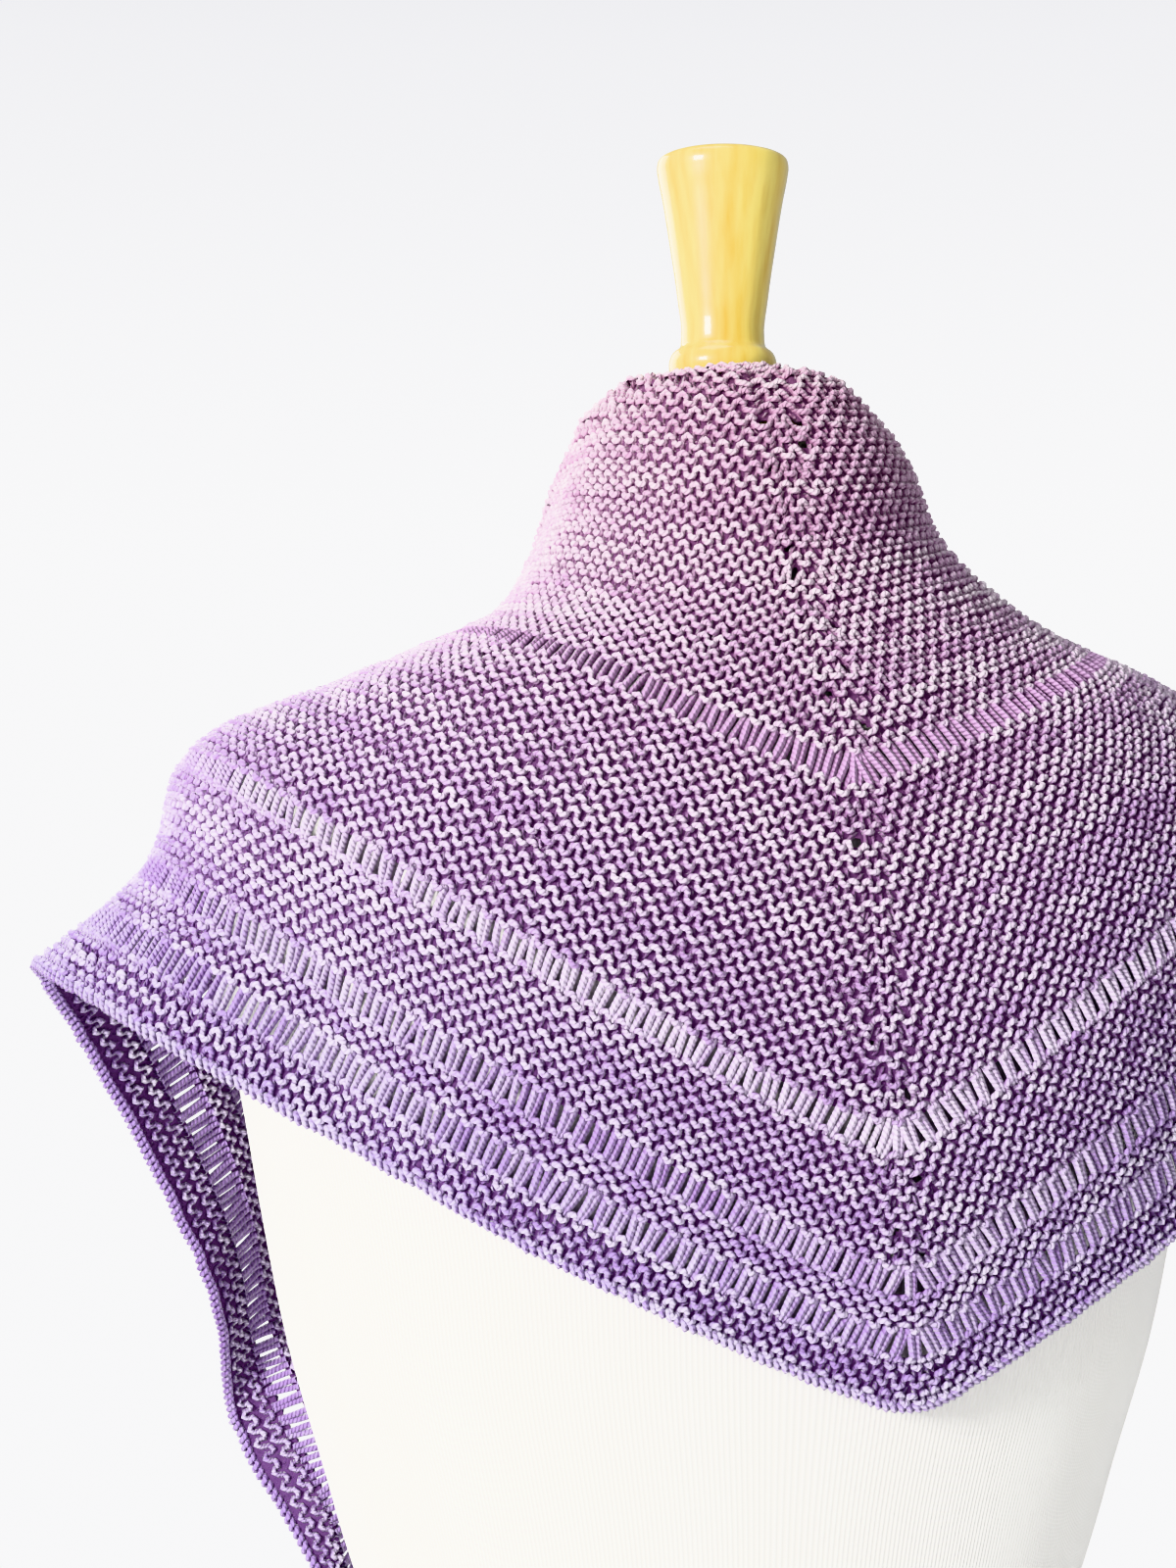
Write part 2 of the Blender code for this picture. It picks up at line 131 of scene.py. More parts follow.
# The spine's course down the back. Share is the part of its length from the nape
SPINE = table(
    "share x y height",
    (0.00, -0.003, 0.027, 0.1640),
    (0.05, -0.004, 0.043, 0.1560),
    (0.12, -0.006, 0.0585, 0.1350),
    (0.25, -0.011, 0.068, 0.0850),
    (0.50, -0.022, 0.103, -0.0110),
    (0.75, -0.030, 0.112, -0.1080),
    (1.00, -0.040, 0.102, -0.1970),
)

# Rows over the two shoulders. Over is where the row crosses the shoulder line, edge is its end in
# front, at the top edge. Sweep squares the row's back and hang squares its front
ROW_COLUMNS = "share over_x over_y over_height edge_x edge_y edge_height sweep hang"
LEFT = table(
    ROW_COLUMNS,
    (0.00, -0.003, 0.027, 0.164, -0.003, 0.027, 0.164, 2.0, 2.0),
    (0.05, 0.022, 0.030, 0.160, 0.030, 0.018, 0.159, 2.0, 2.0),
    (0.12, 0.048, 0.016, 0.142, 0.051, -0.008, 0.140, 2.1, 2.0),
    (0.25, 0.062, 0.003, 0.107, 0.063, -0.052, 0.086, 2.1, 2.0),
    (0.34, 0.076, 0.000, 0.082, 0.074, -0.076, 0.030, 2.2, 2.1),
    (0.50, 0.118, 0.000, 0.058, 0.090, -0.105, -0.066, 2.3, 2.2),
    (0.75, 0.195, -0.002, 0.022, 0.104, -0.122, -0.212, 2.3, 2.0),
    (0.87, 0.206, -0.006, -0.013, 0.110, -0.121, -0.294, 2.2, 1.9),
    (1.00, 0.246, -0.012, -0.048, 0.115, -0.118, -0.378, 2.1, 1.7),
)
RIGHT = table(
    ROW_COLUMNS,
    (0.00, -0.003, 0.027, 0.164, -0.003, 0.027, 0.164, 2.0, 2.0),
    (0.05, -0.030, 0.028, 0.160, -0.038, 0.014, 0.159, 2.0, 2.0),
    (0.12, -0.057, 0.012, 0.139, -0.059, -0.012, 0.137, 2.1, 2.0),
    (0.25, -0.079, 0.002, 0.101, -0.071, -0.055, 0.080, 2.1, 2.0),
    (0.34, -0.108, 0.000, 0.077, -0.081, -0.080, 0.028, 2.2, 2.1),
    (0.50, -0.156, 0.000, 0.054, -0.094, -0.105, -0.066, 2.3, 2.2),
    (0.75, -0.213, -0.004, 0.013, -0.108, -0.124, -0.218, 2.3, 2.0),
    (1.00, -0.250, -0.014, -0.074, -0.118, -0.124, -0.388, 2.1, 1.8),
)

# How low the rows of each half keep on the back
LEFT_SAG = 1.15
RIGHT_SAG = 1.0

# Soft folds across the rows. Along is the part of the row where the fold runs, from the spine.
# Depth is outward at the hem and dies out at the share where the fold starts
LEFT_FOLDS = table(
    "along start width depth",
    (0.30, 0.55, 0.060, -0.004),
    (0.39, 0.50, 0.050, 0.005),
    (0.80, 0.78, 0.085, 0.027),
    (0.90, 0.60, 0.060, -0.006),
)
RIGHT_FOLDS = table(
    "along start width depth",
    (0.23, 0.60, 0.060, -0.004),
    (0.50, 0.45, 0.070, 0.012),
    (0.64, 0.45, 0.068, -0.015),
    (0.78, 0.45, 0.070, 0.017),
    (0.91, 0.50, 0.060, -0.010),
)

# How a fold grows from its start to the hem
FOLD_GROWTH = 1.3

# How much sooner the front of a row comes in towards its edge than it drops
TUCK = 1.6

# Points of each row's curve, and the grid that each half is read from
CURVE_POINTS = 60
GRID_ROWS = 97
GRID_STATIONS = 129
GRID_PASSES = 4


def beside(*values):
    """Values side by side, along a last axis."""
    return np.stack(values, axis=-1)


def smooth(rows, key, column, at):
    """Reads a column of a table at any key, on a cubic curve."""
    keys = rows[key]
    values = rows[column]
    if keys[0] > keys[-1]:
        keys = keys[::-1]
        values = values[::-1]
    slopes = np.gradient(values, keys)
    at = np.clip(at, keys[0], keys[-1])
    low = np.clip(np.searchsorted(keys, at, side="right") - 1, 0, len(keys) - 2)
    width = keys[low + 1] - keys[low]
    part = (at - keys[low]) / width
    start = values[low] * (2 * part**3 - 3 * part**2 + 1)
    end = values[low + 1] * (3 * part**2 - 2 * part**3)
    leave = slopes[low] * width * (part**3 - 2 * part**2 + part)
    arrive = slopes[low + 1] * width * (part**3 - part**2)
    return start + end + leave + arrive


def read(rows, key, at, columns):
    """Reads several columns of a table at any key."""
    return [smooth(rows, key, column, at) for column in columns.split()]


# The solid that the cloth rests on: the form, and the cap's flange above it
BODY = FORM
for height, radius in zip(CAP["height"][1:FLANGE_ROWS], CAP["radius"][1:FLANGE_ROWS]):
    section = (height, radius, radius, radius, 2.0)
    BODY = {name: np.insert(BODY[name], 0, value) for name, value in zip(BODY, section)}


def body_level(points):
    """Below zero inside the form, zero on its surface and above zero outside."""
    half_width, back, front, square = read(BODY, "height", points[..., 2], "half_width back front square")
    depth = np.where(points[..., 1] > 0, back, front)
    across = (np.abs(points[..., 0]) / half_width) ** square
    along = (np.abs(points[..., 1]) / depth) ** square
    return (across + along) ** (1 / square) - 1


def body_slope(points):
    """Gradient of the level, by small steps."""
    slope = np.zeros_like(points)
    for axis, move in enumerate(np.eye(3) * SLOPE_STEP):
        slope[..., axis] = (body_level(points + move) - body_level(points - move)) / (2 * SLOPE_STEP)
    return slope


def keep_clear(points):
    """Moves points that lie too near the form straight out of it."""
    for _ in range(REST_STEPS):
        slope = body_slope(points)
        steepness = np.maximum(np.linalg.norm(slope, axis=-1), 1.0)
        distance = body_level(points) / steepness
        short = np.clip(REST_GAP - distance, 0.0, REST_STEP_LIMIT)
        points = points + slope / steepness[..., None] * short[..., None]
    return points


def row_line(side, sag, share):
    """One knitted row from the spine, round the back, over the shoulder and down the front."""
    spine = read(SPINE, "share", share, "x y height")
    over = read(side, "share", share, "over_x over_y over_height")
    edge = read(side, "share", share, "edge_x edge_y edge_height")
    sweep, hang = read(side, "share", share, "sweep hang")
    sweep = 2 / sweep
    hang = 2 / hang
    turn = np.linspace(0.0, math.pi / 2, CURVE_POINTS)
    sine = np.sin(turn)
    cosine = np.cos(turn)
    reach = sine**sweep
    drop = 1 - cosine**hang
    behind = beside(
        spine[0] + (over[0] - spine[0]) * reach,
        over[1] + (spine[1] - over[1]) * cosine**sweep,
        spine[2] + (over[2] - spine[2]) * reach**sag,
    )
    ahead = beside(
        over[0] + (edge[0] - over[0]) * (TUCK * drop - (TUCK - 1) * drop**2),
        over[1] + (edge[1] - over[1]) * sine**hang,
        over[2] + (edge[2] - over[2]) * drop,
    )
    return np.concatenate([behind, ahead[1:]])


def lengths(line):
    """How far along a line each of its points is."""
    steps = np.linalg.norm(np.diff(line, axis=0), axis=1)
    return np.concatenate([[0.0], np.cumsum(steps)])


def even_out(line):
    """Stations at even steps of a line's length."""
    length = lengths(line)
    at = np.linspace(0.0, length[-1], GRID_STATIONS)
    return beside(*[np.interp(at, length, line[:, axis]) for axis in range(3)])


def soften(grid):
    """Evens a grid of points towards the middle of their neighbours, with its borders kept."""
    for _ in range(GRID_PASSES):
        middle = (grid[:-2, 1:-1] + grid[2:, 1:-1] + grid[1:-1, :-2] + grid[1:-1, 2:]) / 4
        grid[1:-1, 1:-1] = (grid[1:-1, 1:-1] + middle) / 2
    return grid


def unit(vectors):
    """Vectors of length one."""
    return vectors / np.maximum(np.linalg.norm(vectors, axis=-1, keepdims=True), SMALLEST)


def outward(grid, mirrored):
    """Normals of a grid, which face away from the form on either half."""
    facing = unit(np.cross(np.gradient(grid, axis=1), np.gradient(grid, axis=0)))
    return -facing if mirrored else facing


def drape(side, sag, folds, mirrored):
    """One half of the cloth: a point and a normal at each row from the nape and station from the spine."""
    shares = np.linspace(0.0, 1.0, GRID_ROWS)
    grid = np.stack([even_out(row_line(side, sag, share)) for share in shares])
    grid = keep_clear(grid)
    facing = outward(grid, mirrored)
    stations = np.linspace(0.0, 1.0, GRID_STATIONS)
    length = shares[:, None] * HEM_LENGTH
    for along, start, width, depth in zip(*folds.values()):
        growth = np.clip((shares - start) / (1 - start), 0.0, 1.0) ** FOLD_GROWTH
        distance = (stations - along) * length
        shape = np.exp(-((distance / (width / 2)) ** 2))
        grid = grid + facing * (depth * growth[:, None] * shape)[..., None]
    grid = keep_clear(soften(grid))
    return np.concatenate([grid, outward(grid, mirrored)], axis=-1)


def read_grid(grid, share, station):
    """Reads a half of the cloth between its rows and stations, or a little past its border."""
    row = np.asarray(share) * (GRID_ROWS - 1)
    column = np.asarray(station) * (GRID_STATIONS - 1)
    row_low = np.clip(row.astype(int), 0, GRID_ROWS - 2)
    column_low = np.clip(column.astype(int), 0, GRID_STATIONS - 2)
    down = (row - row_low)[..., None]
    along = (column - column_low)[..., None]
    upper = grid[row_low, column_low] * (1 - along) + grid[row_low, column_low + 1] * along
    lower = grid[row_low + 1, column_low] * (1 - along) + grid[row_low + 1, column_low + 1] * along
    return upper * (1 - down) + lower * down


LEFT_HALF = drape(LEFT, LEFT_SAG, LEFT_FOLDS, False)
RIGHT_HALF = drape(RIGHT, RIGHT_SAG, RIGHT_FOLDS, True)

# About how far past the top edge a point may lie
EDGE_EASE = 0.0003


def place(across, down):
    """Where a point of the flat cut lies when worn, and the cloth's normal there. Across is from the
    spine, positive on the form's left, and down is from the nape."""
    depth = np.maximum(row_depth(across, down), SMALLEST)
    share = depth / ROW_DEPTH
    station = np.minimum(np.abs(across) / (2 * depth), 1 + EDGE_EASE / depth)
    left = read_grid(LEFT_HALF, share, station)
    right = read_grid(RIGHT_HALF, share, station)
    cloth = np.where((across > 0)[..., None], left, right)
    return cloth[..., :3] + np.array([0.0, 0.0, LEVEL]), unit(cloth[..., 3:])


# Knitting: a stitch's width, a row's height, and the yarn's radius
STITCH = 0.0059
ROW = 0.00265
YARN = 0.00114

# A loop: how far it reaches over its row, how much wider its ends are, how it leans, how far it stands
# off the cloth's middle, and how far its legs dip back from there
LOOP = 0.00160
BULGE = 0.085
SLANT = 0.0001
FRONT = 0.00064
DIP = 0.00078

# How uneven the loops are: along the row, in reach as a share, in place and in height
UNEVEN_ALONG = 0.05
UNEVEN_LOOP = 0.18
UNEVEN_SHIFT = 0.00024
UNEVEN_LIFT = 0.00022

# Height off the cloth's middle that counts as one for the painted shade, which paints lower-lying yarn
# darker
TALLEST = 0.0022

# Points of a stitch, in rows that stand to the front and to the back
STEPS = {1: 8, -1: 6}

# Points and width of the turn from one row into the next
TURN_POINTS = 4
TURN_OUT = 0.0005

# Angles round a yarn that stands to the front, round one that stands to the back, and round a bare one
HALF_ROUND = np.radians((-100.0, -34.0, 34.0, 100.0))
WHOLE_ROUND = np.radians((-180.0, -90.0, 0.0, 90.0, 180.0))
FULL_ROUND = np.radians((0.0, 72.0, 144.0, 216.0, 288.0, 360.0))

# Bands of elongated stitches, measured from the hem, and where the knitting starts and ends
BAND_FROM_HEM = (0.190, 0.086, 0.0415, 0.021)
BAND_WIDTH = 0.0092
FIRST_DEPTH = 0.0030
BIND_OFF = 0.0022
BANDS = [ROW_DEPTH - band for band in BAND_FROM_HEM]

# Rounding of the corner that a row makes at the spine, at the nape and added towards the hem
NAPE_ROUND = 0.002
TIP_ROUND = 0.006

SEED = 7
chance = np.random.default_rng(SEED)


def corner(depth):
    """How far the corner that a row makes at the spine is rounded."""
    return NAPE_ROUND + TIP_ROUND * (depth / ROW_DEPTH) ** 2


def flat_point(depth, along, shift):
    """The flat cut's point at a row's depth and a length along it, moved a little towards the hem."""
    across = along * math.sin(HEM_ANGLE)
    soft = np.sqrt(across**2 + corner(depth) ** 2)
    slope = across / soft / math.tan(HEM_ANGLE)
    down = (depth - soft * math.cos(HEM_ANGLE)) / math.sin(HEM_ANGLE)
    size = np.sqrt(1 + slope**2)
    return across + shift * slope / size, down + shift / size


# Widths of the spine's own stitches, as shares of the others
SPINE_STITCH = 1.05
SPINE_HALF = 0.55


def row_end(depth):
    """Half a row's length, from the spine to the top edge."""
    return depth * HEM_LENGTH / ROW_DEPTH


def row_depth(across, down):
    """How deep a point of the flat cut lies, square to the rows."""
    return np.abs(across) * math.cos(HEM_ANGLE) + down * math.sin(HEM_ANGLE)


def stitch_edges(depth):
    """Where a row's stitches meet, as lengths from the spine, from one top edge to the other."""
    end = row_end(depth)
    start = depth / math.tan(HEM_ANGLE)
    first = math.ceil((SPINE_STITCH * STITCH - start) / STITCH)
    last = int((end - start) / STITCH) + 1
    edges = start + STITCH * np.arange(first, last + 1)
    edges = edges[edges < end - STITCH / 2]
    edges = np.append(edges, end)
    if edges[0] > SPINE_STITCH * STITCH:
        edges = np.insert(edges, 0, SPINE_HALF * STITCH)
    return np.concatenate([-edges[::-1], edges])


def section_rows(start, end):
    """The depths of an odd number of rows between two depths, so that a ridge ends each side."""
    count = max(3, 2 * round((end - start) / ROW / 2 - 0.5) + 1)
    step = (end - start) / count
    return [start + step * (row + 0.5) for row in range(count)], step


# The eyelets beside the spine: how far apart, how far from it and how unevenly, and how wide they
# stand with the share of each width
EYELET_EVERY = 0.0092
EYELET_FROM_SPINE = 0.0046
EYELET_FROM_ENDS = 0.020
EYELET_SWAY = (-0.0004, 0.0006)
EYELET_DRIFT = 0.001
EYELET_WIDTHS = (0.0002, 0.0005, 0.0009, 0.0015)
EYELET_SHARES = (0.4, 0.25, 0.2, 0.15)
# Those that stand wide open, counted from the nape, right and left in turn
OPEN_EYELETS = (4, 5, 6, 17, 20, 31, 54)


def eyelets():
    """Holes of the increases beside the spine, some of them nearly closed."""
    holes = []
    down = EYELET_FROM_ENDS
    while down < SPINE_LENGTH - EYELET_FROM_ENDS:
        for side in (-1, 1):
            width = chance.choice(EYELET_WIDTHS, p=EYELET_SHARES)
            if len(holes) in OPEN_EYELETS:
                width = EYELET_WIDTHS[-1]
            across = side * (EYELET_FROM_SPINE + chance.uniform(*EYELET_SWAY))
            holes.append((across, down + chance.uniform(-1, 1) * EYELET_DRIFT, width))
        down += EYELET_EVERY
    return holes


HOLES = eyelets()

# How far round an eyelet the yarn is pushed, and how far it can be felt
HOLE_REACH = 0.0030
HOLE_LIMIT = 4 * HOLE_REACH
NEAREST = 1e-5


def open_holes(across, down):
    """Pushes the yarn away from the eyelets."""
    for hole_across, hole_down, width in HOLES:
        near = np.abs(across - hole_across) < HOLE_LIMIT
        near &= np.abs(down - hole_down) < HOLE_LIMIT
        if not near.any():
            continue
        off_across = across[near] - hole_across
        off_down = down[near] - hole_down
        distance = np.maximum(np.hypot(off_across, off_down), NEAREST)
        push = width * np.exp(-((distance / HOLE_REACH) ** 2))
        across[near] += off_across / distance * push
        down[near] += off_down / distance * push
    return across, down


# Waves of shade along the dyed yarn
DYE_WAVES = table(
    "span start size",
    (0.83, 0.2, 0.40),
    (0.31, 1.9, 0.34),
    (0.117, 4.0, 0.22),
    (0.043, 2.2, 0.14),
)


def dye_at(length):
    """Hand-dyed yarn: a slow change of shade along its whole length, about -1 to 1."""
    waves = zip(*DYE_WAVES.values())
    return sum(size * np.sin(math.tau * length / span + start) for span, start, size in waves)


# Painted light and shade, placed on the flat cut: lighter low on the form's left, where the light falls,
# and darker where shade falls, most of all on the neck's right side
PAINTED_LIGHT_POOLS = table(
    "across down width change",
    (0.195, 0.250, 0.045, 0.70),
    (0.250, 0.175, 0.045, -0.50),
    (0.065, 0.275, 0.050, -0.45),
    (0.000, 0.375, 0.045, -0.45),
    (-0.055, 0.030, 0.045, -1.60),
    (-0.085, 0.150, 0.050, -0.20),
)


def painted_light_and_shade(across, down):
    """Painted light and shade on the flat cut, from -1 to 1."""
    change = np.zeros(len(across))
    for patch_across, patch_down, width, amount in zip(*PAINTED_LIGHT_POOLS.values()):
        away = np.hypot(across - patch_across, down - patch_down)
        change = change + amount * np.exp(-((away / width) ** 2))
    return change


def grid_quads(rows, columns):
    """The four-sided faces of a grid of points."""
    first = np.arange(rows - 1)[:, None] * columns + np.arange(columns - 1)
    return beside(first, first + 1, first + 1 + columns, first + columns)


def tube(points, facing, radius, angles):
    """A skin round a path, at angles that are measured from the way it faces."""
    along = unit(np.gradient(points, axis=0))
    side = unit(np.cross(along, facing))
    out = np.cross(side, along)
    spread = out[:, None] * np.cos(angles)[:, None] + side[:, None] * np.sin(angles)[:, None]
    rings = (points[:, None] + spread * radius).reshape(-1, 3)
    return rings, grid_quads(len(points), len(angles)).reshape(-1, 4), np.tile(angles, len(points))


CENTIMETRES = 100


class Yarn:
    """Gathers tubes into one mesh, with what their material reads. The tone is how far down the cloth, the
    dye with the painted light and shade of the pools, and the height from which the painted shade is read.
    The ply is the length in centimetres and the angle round the yarn, which also sets the painted light on
    its crown and the painted shade at its sides."""

    def __init__(self, name):
        self.name = name
        self.points = []
        self.quads = []
        self.tone = []
        self.ply = []
        self.count = 0

    def add(self, across, down, lift, facing_sign, radius, round_angles, dye, start, shade_height_floor=0.0):
        """A tube through points of the flat cut that stand off it by lift. Its last argument is the least
        height
        that its painted shade counts with: the lower the yarn lies, the darker it is painted."""
        middle, facing = place(across, down)
        path = middle + facing * lift[:, None]
        rings, quads, angles = tube(path, facing * facing_sign, radius, round_angles)
        sides = len(round_angles)
        length = lengths(path) + start
        off = rings - np.repeat(middle, sides, axis=0)
        # Height off the cloth's middle, from which the material paints the lower yarn darker with shade
        height = np.abs(np.einsum("ij,ij->i", off, np.repeat(facing, sides, axis=0)))
        share = row_depth(across, down) / ROW_DEPTH
        height = np.maximum(height, shade_height_floor) / TALLEST
        # The dye, with the painted light and shade of the pools added
        shade = (dye + painted_light_and_shade(across, down)) * 0.5 + 0.5
        self.tone.append(beside(np.repeat(share, sides), np.repeat(shade, sides), height))
        self.ply.append(beside(np.repeat(length, sides) * CENTIMETRES, np.cos(angles), np.sin(angles)))
        self.points.append(rings)
        self.quads.append(quads + self.count)
        self.count += len(rings)

    def build(self, material):
        """Makes the mesh, riding on the part."""
        points = np.concatenate(self.points)
        quads = np.concatenate(self.quads)
        thing = add_mesh(self.name, points, quads, material)
        put_attribute(thing, "tone", np.concatenate(self.tone))
        put_attribute(thing, "ply", np.concatenate(self.ply))
        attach(thing, "root")
        return thing


def flat(values, kind=np.float32):
    """Values in one row, as a mesh takes them."""
    return np.ascontiguousarray(values, dtype=kind).ravel()


def add_mesh(name, points, quads, material):
    """A smooth mesh from points and four-sided faces."""
    mesh = bpy.data.meshes.new(name)
    mesh.vertices.add(len(points))
    mesh.vertices.foreach_set("co", flat(points))
    mesh.loops.add(quads.size)
    mesh.loops.foreach_set("vertex_index", flat(quads, np.int32))
    mesh.polygons.add(len(quads))
    mesh.polygons.foreach_set("loop_start", np.arange(0, quads.size, quads.shape[1], dtype=np.int32))
    mesh.update(calc_edges=True)
    mesh.validate()
    mesh.shade_smooth()
    mesh.materials.append(material)
    thing = bpy.data.objects.new(name, mesh)
    bpy.context.scene.collection.objects.link(thing)
    return thing


def put_attribute(thing, name, values):
    """Three numbers at each point, for the materials to read."""
    attribute = thing.data.attributes.new(name, "FLOAT_VECTOR", "POINT")
    attribute.data.foreach_set("vector", flat(values))


# Length of yarn that is knitted so far, from which the dye goes on
YARN_USED = 0.0

# How much the shade differs from stitch to stitch
UNEVEN_DYE = 0.5


def row_turn(front, depth, next_depth, end):
    """Where the yarn turns into the next row: its lengths along, depths and heights."""
    bend = np.arange(1, TURN_POINTS + 1) / (TURN_POINTS + 1) * math.pi
    depths = depth + (next_depth - depth) * (1 - np.cos(bend)) / 2
    along = end + TURN_OUT * np.sin(bend) + row_end(depths - depth)
    return along, depths, front * FRONT * np.cos(bend)


def knit_row(yarn, number, front, depth, step, next_depth):
    """One row of garter stitch from edge to edge. The yarn turns into the next row at one end."""
    global YARN_USED
    edges = stitch_edges(depth)
    count = len(edges) - 1
    steps = STEPS[front]
    turn = np.arange(count * steps + 1) / steps
    phase = math.tau * turn
    drift = chance.normal(0.0, 1.0, (4, count + 1))
    loose = [np.interp(turn, np.arange(count + 1), values) for values in drift]
    place_in_row = turn + BULGE * np.sin(2 * phase) + UNEVEN_ALONG * loose[0]
    along = np.interp(place_in_row, np.arange(count + 1), edges)
    along = along + SLANT * np.cos(phase) * np.tanh(along / STITCH)
    loop = LOOP * step / ROW * (1 + UNEVEN_LOOP * loose[1])
    shift = UNEVEN_SHIFT * loose[2] - loop * np.cos(phase)
    climb = SLANT * np.sin(phase) * np.tanh(along / STITCH)
    lift = front * (FRONT + DIP * np.cos(2 * phase) - climb) + UNEVEN_LIFT * loose[3]
    depths = np.full(len(along), depth)
    direction = 1 if number % 2 == 0 else -1
    if next_depth is not None:
        turn_along, turn_depths, turn_lift = row_turn(front, depth, next_depth, edges[-1])
        at = len(along) if direction > 0 else 0
        ends = (direction * turn_along, turn_depths, turn_lift, np.zeros(TURN_POINTS))
        pairs = zip((along, depths, lift, shift), ends)
        along, depths, lift, shift = [np.insert(line, at, end[::direction]) for line, end in pairs]
    across, down = flat_point(depths, along, shift)
    across, down = open_holes(across, down)
    shades = chance.normal(0.0, UNEVEN_DYE, count + 2)
    each = np.interp(np.arange(len(along)) / steps, np.arange(count + 2), shades)
    dye = dye_at(YARN_USED + direction * along) + each
    angles = HALF_ROUND if front > 0 else WHOLE_ROUND
    yarn.add(across, down, lift, front, YARN, angles, dye, YARN_USED)
    YARN_USED += 2 * edges[-1]


# Looks of the bands, from the neck down. Thick is a strand's radius, height the least that its painted
# shade counts with, and closed the least share of their spread that a stitch's legs keep
BAND_LOOKS = table(
    "width shade thick height closed",
    (0.0080, -1.9, 0.00143, 0.0005, 0.80),
    (0.0094, 0.7, 0.00130, 0.0016, 0.40),
    (0.0092, -0.3, 0.00132, 0.0013, 0.45),
    (0.0092, -0.4, 0.00132, 0.0013, 0.45),
)
LEG_POINTS = 9

# How far a strand runs on under the rows beside its band, and how deep its ends go
TUCK_UNDER = 0.0016
END_DIP = 0.0012

# How far each leg stands from its stitch's middle, as a share of the stitch, and how unevenly
LEG_APART = 0.25
LEG_UNEVEN = 0.05
LEG_NARROWING = 1.5

# How far a stitch leans, how much a leg bows, and how far the two stand above one another
LEAN = 0.0003
UNEVEN_LEAN = 0.00045
LEG_BOW = 0.00016
LEG_LIFT = 0.0003

# Each strand's shade: how much of the yarn's own it has, over what length, and how uneven it is
LEG_DYE = 0.6
LEG_DYE_LENGTH = 3
LEG_UNEVEN_DYE = 0.35
LEG_PLY_LENGTH = 7


def band_stitches(centre):
    """The middles of a band's stitches, as lengths from the spine."""
    end = row_end(centre)
    start = centre / math.tan(HEM_ANGLE)
    numbers = np.arange(-int(start / STITCH) - 1, int((end - start) / STITCH) + 1)
    middles = start + STITCH * (numbers + 0.5)
    middles = middles[(middles > STITCH * 0.5) & (middles < end - STITCH * 0.3)]
    middles = np.concatenate([-middles[::-1], middles])
    if np.abs(middles).min() > STITCH * 0.5:
        middles = np.append(middles, 0.0)
    return middles


def long_stitches(yarn, centre, width, shade, thick, height, closed):
    """A band of stitches that were wrapped and dropped. Their two long legs draw together to the hem."""
    global YARN_USED
    part = np.linspace(0.0, 1.0, LEG_POINTS)
    upper = centre - width / 2 - TUCK_UNDER
    lower = centre + width / 2 + TUCK_UNDER
    depth = upper + (lower - upper) * part
    for middle in band_stitches(centre):
        lean = chance.normal(LEAN, UNEVEN_LEAN)
        spread = STITCH * (LEG_APART + chance.uniform(-LEG_UNEVEN, LEG_UNEVEN))
        narrow = chance.uniform(closed, min(closed + 0.5, 1.0))
        apart = 1 - (1 - narrow) * part**LEG_NARROWING
        wale = np.sign(middle) * (depth - centre) / math.tan(HEM_ANGLE) + middle
        for leg in (-1, 1):
            along = wale + leg * spread * apart + lean * (part - 0.5) * 2
            along = along + chance.normal(0.0, LEG_BOW) * np.sin(math.pi * part)
            bow = leg * LEG_LIFT * np.sin(math.pi * part)
            lift = LEG_LIFT + bow - END_DIP * (2 * part - 1) ** 6
            across, down = flat_point(depth, along, np.zeros_like(part))
            own = dye_at(YARN_USED + LEG_DYE_LENGTH * middle) * LEG_DYE
            dye = np.full(len(part), own) + shade + chance.normal(0.0, LEG_UNEVEN_DYE)
            start = YARN_USED + middle * LEG_PLY_LENGTH + leg
            yarn.add(across, down, lift, 1, thick, FULL_ROUND, dye, start, height)
    YARN_USED += 2 * row_end(centre)


# The bound-off hem's chain: how far its two strands swing across and off the cloth, and how unevenly
CHAIN_POINTS = 8
CHAIN_SWING = 0.0011
CHAIN_KINK = 0.0004
CHAIN_UNEVEN = 0.0003
CHAIN_DYE = -0.3
# Least height that the chain's painted shade counts with
CHAIN_LOWEST = 0.0004

# The top edge's stitches, the same way, and how far in they lie
EDGE_POINTS = 6
EDGE_IN = 0.0010
EDGE_SWING = 0.0005
EDGE_LIFT = 0.0007
EDGE_UNEVEN = 0.00022
# Least height that the top edge's painted shade counts with
EDGE_LOWEST = 0.0012


def chain(end, count, points, uneven):
    """A chain's lengths from the spine, how far it wanders, and the phases of its two strands."""
    turn = np.arange(count * points + 1) / points
    wander = np.interp(turn, np.arange(count + 1), chance.normal(0.0, uneven, count + 1))
    along = np.interp(turn, [0, count], [-end, end])
    return along, wander, [math.tau * (turn + strand / 2) for strand in (0, 1)]


def bind_off(yarn):
    """The bound-off edge, a chain that lies along the hem."""
    depth = ROW_DEPTH - BIND_OFF / 2
    end = row_end(depth)
    along, wander, phases = chain(end, round(2 * end / STITCH), CHAIN_POINTS, CHAIN_UNEVEN)
    for strand, phase in enumerate(phases):
        shift = CHAIN_SWING * np.cos(phase) + CHAIN_KINK * np.cos(phase * 2) + wander
        lift = CHAIN_SWING * np.sin(phase)
        across, down = flat_point(np.full(len(along), depth), along, shift)
        dye = dye_at(along * 3 + strand) + CHAIN_DYE
        yarn.add(across, down, lift, 1, YARN, FULL_ROUND, dye, 0.0, CHAIN_LOWEST)


